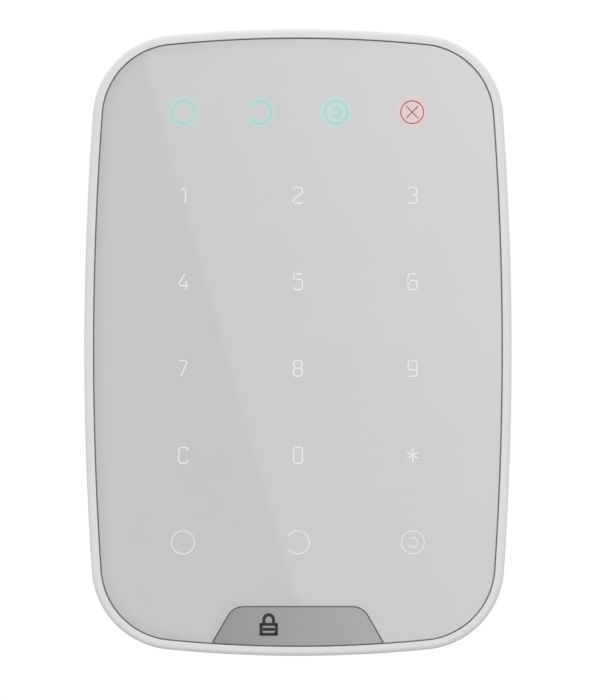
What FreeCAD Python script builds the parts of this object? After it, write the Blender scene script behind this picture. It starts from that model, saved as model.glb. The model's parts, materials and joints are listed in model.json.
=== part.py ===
import FreeCAD, Part
import math
import os

import Sketcher

# Wall-mounted alarm keypad with a flush touch panel, four AAA cells and a slide-on wall bracket.
# Frame: X to the right seen from the front, Z up, Y into the wall. The origin is the middle of the
# bracket's back face, on the wall. "Depth" is the distance from the wall, so a face at depth d lies
# at y = -d and the user's side has the largest depth. All lengths are in millimetres.

SIZES = {
    # casing outline: four bowed sides joined by four corner arcs
    "body_width": 103, "body_height": 151.25, "body_depth": 14,
    "side_radius": 780, "end_radius": 315, "corner_radius": 20.3,
    # side profile of the casing, as depths and insets from the widest outline
    "split_depth": 6.2, "widest_depth": 12.4, "back_depth": 0.5,
    "split_inset": 0.5, "split_step": 0.15, "back_inset": 1.7,
    "front_round": 1.1, "lip_round": 0.2, "back_round": 0.9,
    # front frame
    "rim_width": 2.15, "panel_gap": 0.27, "cavity_inset": 2.3, "ledge_inset": 5.0,
    "ledge_back": 11.2, "ledge_front": 12.4,
    # panel, badge and laminated films
    "panel_back": 12.6, "panel_front": 13.9, "badge_drop": 0.15, "film_gap": 0.2, "film_thick": 0.2,
    "badge_top": 63.75, "badge_half_top": 15.6, "badge_half_bottom": 20.9, "badge_round": 4.4,
    "badge_gap": 0.16, "badge_bottom": 72.95, "badge_past": 5.0, "trim_past": 20,
    # key and indicator grid
    "key_pitch_x": 27.6, "key_pitch_z": 20.91, "first_row": 35.2,
    "light_pitch": 18.4, "light_row": 55.1,
    "well_radius": 3.6, "diffuser_thick": 1.0, "pad_outer": 7.0, "pad_inner": 4.2, "pad_thick": 0.1,
    # main board and light baffle
    "board_back": 8.8, "board_thick": 1.0, "board_inset": 4.0,
    "baffle_front": 12.1, "baffle_inset": 5.4,
    # screws through the rear shell, and board screws
    "boss_x": 40.4, "boss_z": 63.6, "boss_radius": 2.75, "boss_front": 12.0,
    "pilot_radius": 0.92, "pilot_roof": 0.2, "shell_boss_radius": 3.3, "head_hole": 2.3, "head_floor": 4.2,
    "post_x": 45.4, "post_z": 22.0, "post_drop": 4.0, "post_radius": 2.4, "post_pilot": 0.72,
    # battery bays
    "bay_x": 13.8, "bay_middle": -5.5, "cell_radius": 5.25, "cell_length": 44.5, "nub_length": 1.0,
    "nub_radius": 1.9, "cell_depth": 6.7, "tray_inner_width": 11.1, "tray_inner_length": 93.4,
    "tray_wall": 0.8, "tray_back": 1.35, "tray_front": 10.8, "bay_wall": 0.8, "bay_clear": 0.15,
    "spring_room": 3.9, "strip_thick": 0.4,
    # rear shell
    "shell_outside": 2.2, "shell_inside": 3.4, "recess_inset": 3.4, "shell_cavity": 3.3,
    "lip_inset": 2.4, "lip_front": 7.4,
    # wall bracket
    "plate_thick": 1.6, "plate_inset": 5.0, "plate_rise": 3.7, "travel": 8.0,
    "window_gap": 0.6, "hook_x": 34.0, "hook_z": 34.0, "hook_drop": 72.0, "hook_width": 5.0,
    "hook_stem": 2.0, "hook_lip": 4.5, "hook_front": 4.8, "hook_back": 3.55,
    "hole_radius": 2.1, "hole_x": 30.0, "hole_z": 57.5, "hole_rise": 2.5, "countersink": 0.8,
    "tab_x": 33.0, "tab_z": -6.0, "tab_side": 17.0, "slit": 1.0,
    "tongue_half": 5.5, "tongue_end": 73.4, "tongue_thick": 1.4, "tongue_front": 5.5,
    "notch_half": 7.2, "notch_top": 71.8, "notch_front": 5.8,
    # lock screw
    "lock_depth": 3.5, "lock_shank": 0.95, "lock_head": 1.7, "lock_length": 6.9,
    # tamper and power buttons
    "tamper_x": 33.0, "tamper_z": -12.0, "tamper_radius": 2.0, "power_x": -33.0, "power_radius": 2.5,
    # sounder
    "sounder_x": -33.0, "sounder_z": -57.0, "sounder_radius": 6.2, "sounder_back": 5.0, "sounder_wall": 0.6,
    "sounder_throat": 1.2, "sounder_roof": 2.0, "sounder_disc_back": 7.0, "sounder_disc_thick": 0.25,
    # adhesive ring, touch film's tail and its connector
    "ring_gap": 0.3, "ring_lap": 0.1,
    "tail_drop": 11.5, "tail_width": 10.0, "tail_thick": 0.25,
    "tail_slot_width": 13.0, "tail_slot_height": 4.0,
    "connector_width": 12.0, "connector_height": 3.0, "connector_thick": 1.2,
    # light emitters and diffusers
    "emitter_width": 2.0, "emitter_height": 1.25, "emitter_thick": 0.8,
    "diffuser_sink": 0.1, "diffuser_clear": 0.05,
    # clearances round what passes through a plate
    "board_clear": 0.25, "baffle_clear": 0.3, "screw_clear": 0.2, "boss_clear": 0.2, "boss_roof": 1.0,
    # parts on the wall side of the board
    "chip_x": 24.0, "chip_z": 52.0, "controller_side": 9.0, "controller_thick": 1.0, "small_chip_side": 6.0,
    "small_chip_thick": 0.9, "crystal_x": 14.5, "crystal_z": 48.0,
    "crystal_width": 3.2, "crystal_height": 1.5,
    "radio_z": 54.0, "can_width": 17.0, "can_height": 13.0, "can_depth": 2.2, "can_sheet": 0.2,
    "capacitor_width": 2.0, "capacitor_height": 1.25, "capacitor_thick": 1.2,
    "tall_radius": 2.6, "tall_length": 3.6,
    "antenna_x": 24.0, "antenna_z": 66.0, "antenna_back": 4.6, "antenna_length": 22.0, "antenna_height": 2.4,
    "antenna_sheet": 0.4, "antenna_leg": 0.6, "feed_offset": 8.0, "earth_offset": 10.7,
    # switches behind the two buttons
    "switch_back": 6.7, "stem_room": 1.7, "flange_thick": 0.8,
    "tip_gap": 0.05, "tamper_shoulder": 4.5, "tamper_flange": 3.6, "nose_radius": 1.0, "nose_length": 0.3,
    "tamper_switch_width": 4.2, "tamper_switch_height": 3.4, "tamper_stem_bore": 1.15,
    "tamper_stem_back": 5.6, "tamper_stem_radius": 1.0, "tamper_stem_length": 1.8,
    "tamper_coil": 3.2, "tamper_wire": 0.25, "tamper_pitch": 0.98, "tamper_coil_length": 2.94,
    "power_back_gap": 0.1, "power_cap_length": 3.1, "power_flange": 3.4, "power_flange_gap": 0.15,
    "power_switch_side": 6.0, "power_stem_bore": 1.65,
    "power_stem_back": 5.4, "power_stem_radius": 1.5, "power_stem_length": 2.2,
    # battery tray's ears and contacts
    "ear_width": 6.0, "ear_height": 3.0, "ear_offset": 1.4, "ear_thick": 0.8, "contact_side": 8.0,
    "contact_coil": 2.4, "contact_wire": 0.3, "contact_pitch": 0.96, "contact_coil_length": 2.88,
    # rear shell's blocks, guides, slots and label
    "block_wall": 1.6, "block_drop": 1.0, "block_thick": 2.0, "screw_block": 6.8,
    "guide_radius": 3.4, "guide_height": 0.9, "guide_bore_depth": 2.1, "guide_clear": 0.08,
    "power_clear": 0.1, "slot_clear": 0.3, "notch_back": 0.2, "notch_over": 3.0,
    "sound_pitch": 2.0, "sound_slit": 1.0, "sound_slit_length": 7.0,
    "lock_bore": 6.0, "lock_pilot_clear": 0.04, "lock_bore_clear": 0.15,
    "label_z": 11.0, "label_width": 18.0, "label_height": 20.0, "label_thick": 0.12,
    # screws
    "shell_head": 2.0, "shell_head_thick": 1.3, "shell_shank": 0.9, "shell_screw_length": 6.0,
    "board_head": 1.5, "board_head_thick": 0.9, "board_shank": 0.7, "board_screw_length": 2.6,
    "lock_cross": 1.9, "lock_cross_thick": 0.45, "lock_cross_depth": 0.6,
    # bracket's tongue and the slits round its break-away tab
    "tongue_top": 55.0, "slit_drop": 0.5, "slit_short": 3.0, "slit_offset": 4.0, "slit_past": 0.8,
    "slit_length": 5.5,
}

# Rows of small capacitors on the board: first x and z, step in x and z, and how many
CAPACITOR_ROWS = ((-14, 62.5, 4, 0, 4), (31, 44, 0, 3, 3), (-32, 46, 0, 3, 3), (27, -25, 4, 0, 3))
TALL_CAPACITORS = ((28, -56), (35, -56), (28, 14))
# Gap between surfaces that meet, so that neighbours never share a face
TOUCH = 0.01
# How near two lengths must be to count as the same one
NEAR = 1e-3
# How far from the badge's corner its upright edge may be looked for
CORNER_SEARCH = 0.5
# A cross recess next to its screw head's radius and thickness
RECESS_REACH, RECESS_WIDTH, RECESS_DEPTH = 1.2, 0.28, 0.6

doc = FreeCAD.newDocument("AlarmKeypad")
sheet = doc.addObject("Spreadsheet::Sheet", "Sizes")


class Size:
    """A length that knows its value and the expression that binds it to the spreadsheet."""

    def __init__(self, value, text=None):
        self.value = float(value)
        self.text = text or f"({self.value:g})"

    def _with(self, other, sign, value):
        return Size(value, f"({self.text} {sign} {as_size(other).text})")

    def __add__(self, other):
        return self._with(other, "+", self.value + as_size(other).value)

    def __sub__(self, other):
        return self._with(other, "-", self.value - as_size(other).value)

    def __mul__(self, other):
        return self._with(other, "*", self.value * as_size(other).value)

    def __truediv__(self, other):
        return self._with(other, "/", self.value / as_size(other).value)

    def __radd__(self, other):
        return as_size(other) + self

    def __rsub__(self, other):
        return as_size(other) - self

    def __neg__(self):
        return Size(-self.value, f"(-{self.text})")


def as_size(value):
    return value if isinstance(value, Size) else Size(value)


class Sheet:
    """Gives each cell of the spreadsheet as a Size, by its alias."""

    def __getattr__(self, name):
        return Size(SIZES[name], f"Sizes.{name}")


for row, (alias, number) in enumerate(SIZES.items(), start=1):
    sheet.set(f"A{row}", alias)
    sheet.set(f"B{row}", str(number))
    sheet.setAlias(f"B{row}", alias)
doc.recompute()
S = Sheet()
parts = {}

HALF_WIDTH = S.body_width / 2
HALF_HEIGHT = S.body_height / 2
BOARD_FRONT = S.board_back + S.board_thick
SIDES = (-1, 1)


# ---- helpers: binding, sketches and features ----

def bind(thing, path, size):
    thing.setExpression(path, as_size(size).text)


def keep(label, thing):
    """Names a finished sub-part. Its label is its file's name."""
    thing.Label = label
    parts[label] = thing
    return thing


def body(label):
    return keep(label, doc.addObject("PartDesign::Body", f"Body_{label}"))


def sketch(owner, depth):
    """A sketch parallel to the wall at this depth, with X to the right and Z up."""
    made = owner.newObject("Sketcher::SketchObject", "Sketch")
    plane = next(f for f in owner.Origin.OriginFeatures if f.Role == "XZ_Plane")
    made.AttachmentSupport = [(plane, "")]
    made.MapMode = "FlatFace"
    bind(made, "AttachmentOffset.Base.z", depth)
    return made


def level_sketch(owner, height):
    """A level sketch at this height, with X to the right and Y towards the wall."""
    made = owner.newObject("Sketcher::SketchObject", "Sketch")
    plane = next(f for f in owner.Origin.OriginFeatures if f.Role == "XY_Plane")
    made.AttachmentSupport = [(plane, "")]
    made.MapMode = "FlatFace"
    bind(made, "AttachmentOffset.Base.z", height)
    return made


def fix(drawing, kind, where, size):
    """Adds a dimension, bound to the spreadsheet."""
    index = drawing.addConstraint(Sketcher.Constraint(kind, *where, as_size(size).value))
    bind(drawing, f"Constraints[{index}]", size)


def place_point(drawing, element, point, x, z):
    for kind, size in (("DistanceX", as_size(x)), ("DistanceY", as_size(z))):
        if size.value < 0:
            fix(drawing, kind, (element, point, -1, 1), -size)
        else:
            fix(drawing, kind, (-1, 1, element, point), size)


def add_circle(drawing, x, z, radius):
    x, z, radius = as_size(x), as_size(z), as_size(radius)
    centre = FreeCAD.Vector(x.value, z.value, 0)
    index = drawing.addGeometry(Part.Circle(centre, FreeCAD.Vector(0, 0, 1), radius.value))
    place_point(drawing, index, 3, x, z)
    fix(drawing, "Radius", (index,), radius)


def add_polygon(drawing, corners):
    """A closed run of straight lines through corners, each fixed by its two distances."""
    points = [FreeCAD.Vector(as_size(x).value, as_size(z).value, 0) for x, z in corners]
    lines = []
    for start, end in zip(points, points[1:] + points[:1]):
        lines.append(drawing.addGeometry(Part.LineSegment(start, end)))
    for line, following in zip(lines, lines[1:] + lines[:1]):
        drawing.addConstraint(Sketcher.Constraint("Coincident", line, 2, following, 1))
    for line, (x, z) in zip(lines, corners):
        place_point(drawing, line, 1, x, z)


def add_rectangle(drawing, x, z, width, height):
    """A rectangle about the point x, z."""
    x, z, width, height = (as_size(v) for v in (x, z, width, height))
    left, right = x - width / 2, x + width / 2
    low, high = z - height / 2, z + height / 2
    add_polygon(drawing, [(left, low), (right, low), (right, high), (left, high)])


def corner_centre(half_width, half_height, side_radius, end_radius, corner_radius):
    """Centre of the corner arc that touches a side arc and an end arc from within."""
    side = FreeCAD.Vector(half_width - side_radius, 0, 0)
    end = FreeCAD.Vector(0, half_height - end_radius, 0)
    near, far = side_radius - corner_radius, end_radius - corner_radius
    step = end - side
    along = (near**2 - far**2 + step.Length**2) / (2 * step.Length)
    across = math.sqrt(near**2 - along**2)
    step.normalize()
    return side + step * along + FreeCAD.Vector(-step.y, step.x, 0) * across


def add_outline(drawing, inset=0, height=None, rise=0):
    """The casing's outline, moved inwards by inset: eight arcs, each tangent to the next."""
    inset, rise = as_size(inset), as_size(rise)
    half_height = HALF_HEIGHT if height is None else height / 2 + inset
    side, end, corner = S.side_radius, S.end_radius, S.corner_radius
    middle = corner_centre(HALF_WIDTH.value, half_height.value, side.value, end.value, corner.value)
    side_offset = side - HALF_WIDTH
    end_offset = end - half_height
    low = math.atan2(middle.y, middle.x + side_offset.value)
    high = math.atan2(middle.y + end_offset.value, middle.x)
    turns = [-low, low, high, math.pi - high, math.pi - low]
    turns += [angle + math.pi for angle in turns[1:]]
    centres = [
        (-side_offset.value, 0), (middle.x, middle.y),
        (0, -end_offset.value), (-middle.x, middle.y),
        (side_offset.value, 0), (-middle.x, -middle.y),
        (0, end_offset.value), (middle.x, -middle.y),
    ]
    radii = [side - inset, corner - inset, end - inset, corner - inset] * 2
    arcs = []
    for (x, z), radius, start, stop in zip(centres, radii, turns, turns[1:]):
        centre = FreeCAD.Vector(x, z + rise.value, 0)
        circle = Part.Circle(centre, FreeCAD.Vector(0, 0, 1), radius.value)
        arcs.append(drawing.addGeometry(Part.ArcOfCircle(circle, start, stop)))
    for arc, following in zip(arcs, arcs[1:] + arcs[:1]):
        drawing.addConstraint(Sketcher.Constraint("Tangent", arc, 2, following, 1))
    for arc, radius in zip(arcs[:3], radii):
        fix(drawing, "Radius", (arc,), radius)
    for one, other in ((0, 4), (1, 3), (1, 5), (1, 7), (2, 6)):
        drawing.addConstraint(Sketcher.Constraint("Equal", arcs[one], arcs[other]))
    place_point(drawing, arcs[0], 3, -side_offset, rise)
    place_point(drawing, arcs[4], 3, side_offset, rise)
    place_point(drawing, arcs[2], 3, 0, rise - end_offset)
    place_point(drawing, arcs[6], 3, 0, rise + end_offset)


def outline_sketch(owner, depth, *insets, **how):
    made = sketch(owner, depth)
    for inset in insets:
        add_outline(made, inset, **how)
    return made


def circles_sketch(owner, depth, places, radius):
    made = sketch(owner, depth)
    for x, z in places:
        add_circle(made, x, z, radius)
    return made


def rectangles_sketch(owner, depth, *rectangles):
    made = sketch(owner, depth)
    for x, z, width, height in rectangles:
        add_rectangle(made, x, z, width, height)
    return made


def pad(owner, drawing, length):
    """Adds material from the sketch's plane away from the wall, or upwards on a level sketch."""
    made = owner.newObject("PartDesign::Pad", "Pad")
    made.Profile = drawing
    made.AllowMultiFace = True
    bind(made, "Length", length)
    doc.recompute()
    return made


def pocket(owner, drawing, length):
    """Cuts from the sketch's plane away from the wall, or upwards on a level sketch."""
    before = owner.Shape.Volume
    made = owner.newObject("PartDesign::Pocket", "Pocket")
    made.Profile = drawing
    made.AllowMultiFace = True
    made.Reversed = True
    bind(made, "Length", length)
    doc.recompute()
    if owner.Shape.Volume > before - NEAR:
        raise RuntimeError(f"a pocket of {owner.Label} cut nothing")
    return made


def loft(owner, first, second):
    made = owner.newObject("PartDesign::AdditiveLoft", "Loft")
    made.Profile = first
    made.Sections = [second]
    made.Ruled = True
    doc.recompute()
    return made


def edges_at(feature, depth, test=None):
    """Names of the feature's edges that lie wholly at this depth, and pass the test if there is one."""
    plane = -as_size(depth).value
    names = []
    for index, edge in enumerate(feature.Shape.Edges, start=1):
        box = edge.BoundBox
        if abs(box.YMin - plane) < NEAR and abs(box.YMax - plane) < NEAR:
            if test is None or test(edge):
                names.append(f"Edge{index}")
    return names


def dress(owner, kind, feature, names, size):
    """A Fillet or a Chamfer on the named edges."""
    made = owner.newObject(f"PartDesign::{kind}", kind)
    made.Base = (feature, names)
    bind(made, "Radius" if kind == "Fillet" else "Size", size)
    doc.recompute()
    return made


# ---- helpers: primitives, all placed by x, depth and z ----

def block(x, z, back, width, height, thick):
    """A box about x, z that starts at the depth back."""
    made = doc.addObject("Part::Box", "Block")
    x, z, back, width, height, thick = (as_size(v) for v in (x, z, back, width, height, thick))
    bind(made, "Length", width)
    bind(made, "Width", thick)
    bind(made, "Height", height)
    bind(made, "Placement.Base.x", x - width / 2)
    bind(made, "Placement.Base.y", -(back + thick))
    bind(made, "Placement.Base.z", z - height / 2)
    return made


def disc(x, z, back, radius, thick):
    """A cylinder that points away from the wall and starts at the depth back."""
    made = doc.addObject("Part::Cylinder", "Disc")
    made.Placement.Rotation = FreeCAD.Rotation(FreeCAD.Vector(1, 0, 0), 90)
    bind(made, "Radius", radius)
    bind(made, "Height", thick)
    bind(made, "Placement.Base.x", x)
    bind(made, "Placement.Base.y", -as_size(back))
    bind(made, "Placement.Base.z", z)
    return made


def upright(x, depth, foot, radius, length, top_radius=None):
    """A vertical cylinder, or a cone if it has a top radius, that stands on the height foot."""
    made = doc.addObject("Part::Cylinder" if top_radius is None else "Part::Cone", "Upright")
    if top_radius is None:
        bind(made, "Radius", radius)
    else:
        bind(made, "Radius1", radius)
        bind(made, "Radius2", top_radius)
    bind(made, "Height", length)
    bind(made, "Placement.Base.x", x)
    bind(made, "Placement.Base.y", -as_size(depth))
    bind(made, "Placement.Base.z", foot)
    return made


def fuse(*pieces):
    made = doc.addObject("Part::MultiFuse", "Fuse")
    made.Shapes = list(pieces)
    return made


def cut(base, tool):
    made = doc.addObject("Part::Cut", "Cut")
    made.Base, made.Tool = base, tool
    return made


def group(pieces):
    """Several separate solids that share one node."""
    made = doc.addObject("Part::Compound", "Group")
    made.Links = list(pieces)
    return made


def coil(radius, wire, pitch, length, placement):
    """A helical spring with its first turn centred on its own origin, along its own +Z."""
    helix = Part.makeHelix(pitch, length, radius)
    section = Part.Wire([Part.Circle(FreeCAD.Vector(radius, 0, 0), FreeCAD.Vector(0, 1, 0), wire).toShape()])
    made = doc.addObject("Part::Feature", "Coil")
    made.Shape = Part.Wire(helix.Edges).makePipeShell([section], True, True)
    made.Placement = placement
    return made


# ---- places that several pieces share ----

def key_places():
    rows = [S.first_row - S.key_pitch_z * row for row in range(5)]
    return [(S.key_pitch_x * column, z) for z in rows for column in (-1, 0, 1)]


def light_places():
    return [(S.light_pitch * (column - 1.5), S.light_row) for column in range(4)]


def corner_places(x, z, rise=0):
    return [(x * side, z * end + rise) for side in SIDES for end in SIDES]


BOSSES = corner_places(S.boss_x, S.boss_z)
POSTS = corner_places(S.post_x, S.post_z, -S.post_drop)
BAYS = [S.bay_x * side for side in SIDES]
TRAY_WIDTH = S.tray_inner_width + S.tray_wall * 2
TRAY_LENGTH = S.tray_inner_length + S.tray_wall * 2
BAY_WIDTH = TRAY_WIDTH + S.bay_clear * 2
BAY_LENGTH = TRAY_LENGTH + S.bay_clear * 2
HOOKS = [(S.hook_x * side, S.hook_z - S.hook_drop * end) for side in SIDES for end in (0, 1)]


def badge_corners(grow=0):
    """The badge's trapezium, grown sideways and upwards, and run well past the bottom edge."""
    top, bottom = S.badge_half_top + grow, S.badge_half_bottom + grow
    slope = (bottom - top) / (S.badge_bottom - S.badge_top)
    foot = HALF_HEIGHT + S.badge_past
    low_half = top + slope * (foot - S.badge_top)
    high = -S.badge_top + grow
    return [(-low_half, -foot), (low_half, -foot), (top, high), (-top, high)]


# ---- front of the casing ----

def make_front_frame():
    """White moulding: rim, ledge for the panel, four screw bosses and four posts for the board."""
    frame = body("front_frame")
    loft(frame, outline_sketch(frame, S.split_depth, S.split_inset), outline_sketch(frame, S.widest_depth, 0))
    front = pad(frame, outline_sketch(frame, S.widest_depth, 0), S.body_depth - S.widest_depth)
    dress(frame, "Fillet", front, edges_at(front, S.body_depth), S.front_round)
    recess = outline_sketch(frame, S.ledge_front, S.rim_width)
    rim = pocket(frame, recess, S.body_depth - S.ledge_front)
    drop = SIZES["body_depth"] - SIZES["ledge_front"]

    def on_lip(edge):
        middle = edge.valueAt((edge.FirstParameter + edge.LastParameter) / 2)
        return abs(recess.Shape.distToShape(Part.Vertex(middle))[0] - drop) < NEAR

    dress(frame, "Fillet", rim, edges_at(rim, S.body_depth, on_lip), S.lip_round)
    pocket(frame, outline_sketch(frame, S.split_depth, S.cavity_inset), S.ledge_back - S.split_depth)
    pocket(frame, outline_sketch(frame, S.ledge_back, S.ledge_inset), S.ledge_front - S.ledge_back)
    pad(frame, circles_sketch(frame, S.split_depth, BOSSES, S.boss_radius), S.boss_front - S.split_depth)
    pad(frame, circles_sketch(frame, BOARD_FRONT, POSTS, S.post_radius), S.boss_front - BOARD_FRONT)
    pilots = circles_sketch(frame, S.split_depth, BOSSES, S.pilot_radius)
    pocket(frame, pilots, S.boss_front - S.split_depth - S.boss_roof)
    post_pilots = circles_sketch(frame, BOARD_FRONT, POSTS, S.post_pilot)
    pocket(frame, post_pilots, S.boss_front - BOARD_FRONT - S.pilot_roof)


def make_panel():
    """Glossy touch panel with a cut-out for the badge, the badge itself, and the adhesive ring."""
    panel = body("touch_panel")
    inset = S.rim_width + S.panel_gap
    thick = S.panel_front - S.panel_back
    pad(panel, outline_sketch(panel, S.panel_back, inset), thick)
    cut_out = sketch(panel, S.panel_back)
    add_polygon(cut_out, badge_corners())
    cut_panel = pocket(panel, cut_out, thick)
    names = round_corners(cut_panel, S.badge_half_top)
    rounded = dress(panel, "Fillet", cut_panel, names, S.badge_round)
    dress(panel, "Fillet", rounded, edges_at(rounded, S.panel_front), S.lip_round)

    badge = body("badge_plate")
    height = thick - S.badge_drop
    pad(badge, outline_sketch(badge, S.panel_back, inset), height)
    outside = sketch(badge, S.panel_back)
    add_rectangle(outside, 0, 0, S.body_width + S.trim_past, S.body_height + S.trim_past)
    add_polygon(outside, badge_corners(-S.badge_gap))
    trimmed = pocket(badge, outside, height)
    names = round_corners(trimmed, S.badge_half_top - S.badge_gap)
    rounded = dress(badge, "Fillet", trimmed, names, S.badge_round - S.badge_gap)
    dress(badge, "Fillet", rounded, edges_at(rounded, S.panel_front - S.badge_drop), S.badge_drop)

    ring = body("panel_adhesive")
    tape = outline_sketch(ring, S.ledge_front, inset + S.ring_gap, S.ledge_inset - S.ring_lap)
    pad(ring, tape, S.panel_back - S.ledge_front)


def round_corners(feature, half_width):
    """Names of the two edges through the feature at the badge's upper corners."""
    names = []
    for index, edge in enumerate(feature.Shape.Edges, start=1):
        box = edge.BoundBox
        straight = box.XLength < NEAR and box.ZLength < NEAR
        if straight and abs(abs(box.XMin) - half_width.value) < CORNER_SEARCH and box.ZMin < 0:
            names.append(f"Edge{index}")
    return names


def make_films():
    """Printed legend film, and the touch film behind it with its electrodes, tail and connector."""
    inset = S.ledge_inset + S.film_gap
    legend = body("legend_film")
    pad(legend, outline_sketch(legend, S.ledge_front, inset), S.film_thick)
    touch = body("touch_film")
    film_back = S.ledge_front - S.film_thick
    pad(touch, outline_sketch(touch, film_back, inset), S.film_thick)
    tail_back, tail_z = BOARD_FRONT + S.connector_thick, HALF_HEIGHT - S.tail_drop
    tail = rectangles_sketch(touch, tail_back, (0, tail_z, S.tail_width, S.tail_thick))
    pad(touch, tail, film_back - tail_back)
    connector = block(0, tail_z, BOARD_FRONT, S.connector_width, S.connector_height, S.connector_thick)
    keep("film_connector", connector)
    pads = []
    for x, z in key_places():
        plate = disc(x, z, film_back - S.pad_thick, S.pad_outer, S.pad_thick)
        pads.append(cut(plate, disc(x, z, film_back - S.pad_thick, S.pad_inner, S.pad_thick)))
    keep("touch_electrodes", group(pads))


# ---- electronics ----

def board_cut_outs(owner, drawing_depth, clear, thick):
    """Windows for the battery trays and clearance round the casing's bosses."""
    trays = [(x, S.bay_middle, TRAY_WIDTH + clear * 2, TRAY_LENGTH + clear * 2) for x in BAYS]
    pocket(owner, rectangles_sketch(owner, drawing_depth, *trays), thick)
    pocket(owner, circles_sketch(owner, drawing_depth, BOSSES, S.boss_radius + clear), thick)


def make_board():
    """Circuit board with its light emitters in front."""
    board = body("main_board")
    pad(board, outline_sketch(board, S.board_back, S.board_inset), S.board_thick)
    board_cut_outs(board, S.board_back, S.board_clear, S.board_thick)
    pocket(board, circles_sketch(board, S.board_back, POSTS, S.post_pilot + S.screw_clear), S.board_thick)
    emitter = (S.emitter_width, S.emitter_height, S.emitter_thick)
    keep("key_leds", group([block(x, z, BOARD_FRONT, *emitter) for x, z in key_places()]))
    keep("indicator_leds", group([block(x, z, BOARD_FRONT, *emitter) for x, z in light_places()]))


def make_baffle():
    """White plate with a light well behind each legend, and a diffuser disc in each well."""
    baffle = body("light_baffle")
    thick = S.baffle_front - BOARD_FRONT
    pad(baffle, outline_sketch(baffle, BOARD_FRONT, S.baffle_inset), thick)
    board_cut_outs(baffle, BOARD_FRONT, S.baffle_clear, thick)
    wells = key_places() + light_places()
    pocket(baffle, circles_sketch(baffle, BOARD_FRONT, wells, S.well_radius), thick)
    pocket(baffle, circles_sketch(baffle, BOARD_FRONT, POSTS, S.post_radius + S.baffle_clear), thick)
    tail_slot = (0, HALF_HEIGHT - S.tail_drop, S.tail_slot_width, S.tail_slot_height)
    pocket(baffle, rectangles_sketch(baffle, BOARD_FRONT, tail_slot), thick)
    back = S.baffle_front - S.diffuser_thick - S.diffuser_sink
    radius = S.well_radius - S.diffuser_clear
    for label, places in (("key_diffusers", key_places()), ("indicator_diffusers", light_places())):
        keep(label, group([disc(x, z, back, radius, S.diffuser_thick) for x, z in places]))


def make_back_components():
    """Parts soldered to the wall side of the board."""
    def chip(x, z, width, height, thick):
        return block(x, z, S.board_back - thick, width, height, thick)

    controller = S.controller_side
    keep("controller_chip", chip(S.chip_x, S.chip_z, controller, controller, S.controller_thick))
    side, thick = S.small_chip_side, S.small_chip_thick
    keep("touch_chip", chip(-S.chip_x, S.chip_z, side, side, thick))
    keep("radio_chip", chip(0, S.radio_z, side, side, thick))
    keep("crystal", chip(S.crystal_x, S.crystal_z, S.crystal_width, S.crystal_height, thick))
    can = chip(0, S.radio_z, S.can_width, S.can_height, S.can_depth)
    sheet_twice = S.can_sheet * 2
    inner = (S.can_width - sheet_twice, S.can_height - sheet_twice, S.can_depth - S.can_sheet)
    room = chip(0, S.radio_z, *inner)
    keep("radio_shield", cut(can, room))
    small = []
    for x, z, step_x, step_z, count in CAPACITOR_ROWS:
        small += [(x + step_x * n, z + step_z * n) for n in range(count)]
    size = (S.capacitor_width, S.capacitor_height, S.capacitor_thick)
    keep("small_capacitors", group([chip(x, z, *size) for x, z in small]))
    tall_back = S.board_back - S.tall_length
    tall = [disc(x, z, tall_back, S.tall_radius, S.tall_length) for x, z in TALL_CAPACITORS]
    keep("storage_capacitors", group(tall))
    for name, turn in (("antenna_left", -1), ("antenna_right", 1)):
        x, z, back = S.antenna_x * turn, S.antenna_z, S.antenna_back
        leg = (z, back, S.antenna_leg, S.antenna_height, S.board_back - back)
        arm = block(x, z, back, S.antenna_length, S.antenna_height, S.antenna_sheet)
        feed = block(x - S.feed_offset * turn, *leg)
        earth = block(x - S.earth_offset * turn, *leg)
        keep(name, fuse(arm, feed, earth))
    x, z, back, wall = S.sounder_x, S.sounder_z, S.sounder_back, S.sounder_wall
    case = disc(x, z, back, S.sounder_radius, S.board_back - back)
    inner_radius = S.sounder_radius - wall
    chamber = disc(x, z, back + wall, inner_radius, S.board_back - back - wall * S.sounder_roof)
    throat = disc(x, z, back, S.sounder_throat, wall)
    keep("sounder_case", cut(case, fuse(chamber, throat)))
    keep("sounder_disc", disc(x, z, S.sounder_disc_back, inner_radius, S.sounder_disc_thick))


# ---- switches that the user or the bracket presses ----

def make_tamper():
    """Spring plunger, held in by the bracket's tab, above a small switch on the board."""
    x, z = S.tamper_x, S.tamper_z
    tip = S.plate_thick + S.tip_gap
    shaft = disc(x, z, tip, S.tamper_radius, S.tamper_shoulder - tip)
    flange = disc(x, z, S.tamper_shoulder, S.tamper_flange, S.flange_thick)
    nose = disc(x, z, S.tamper_shoulder + S.flange_thick, S.nose_radius, S.nose_length)
    keep("tamper_button", fuse(shaft, flange, nose))
    back = S.switch_back
    switch = block(x, z, back, S.tamper_switch_width, S.tamper_switch_height, S.board_back - back)
    keep("tamper_switch", cut(switch, disc(x, z, back, S.tamper_stem_bore, S.stem_room)))
    stem = disc(x, z, S.tamper_stem_back, S.tamper_stem_radius, S.tamper_stem_length)
    keep("tamper_switch_stem", stem)
    wire = SIZES["tamper_wire"]
    foot = SIZES["board_back"] - wire - TOUCH
    towards_wall = FreeCAD.Rotation(FreeCAD.Vector(1, 0, 0), -90)
    at = FreeCAD.Vector(SIZES["tamper_x"], -foot, SIZES["tamper_z"])
    coil_sizes = (SIZES["tamper_coil"], wire, SIZES["tamper_pitch"], SIZES["tamper_coil_length"])
    keep("tamper_spring", coil(*coil_sizes, FreeCAD.Placement(at, towards_wall)))


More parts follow.
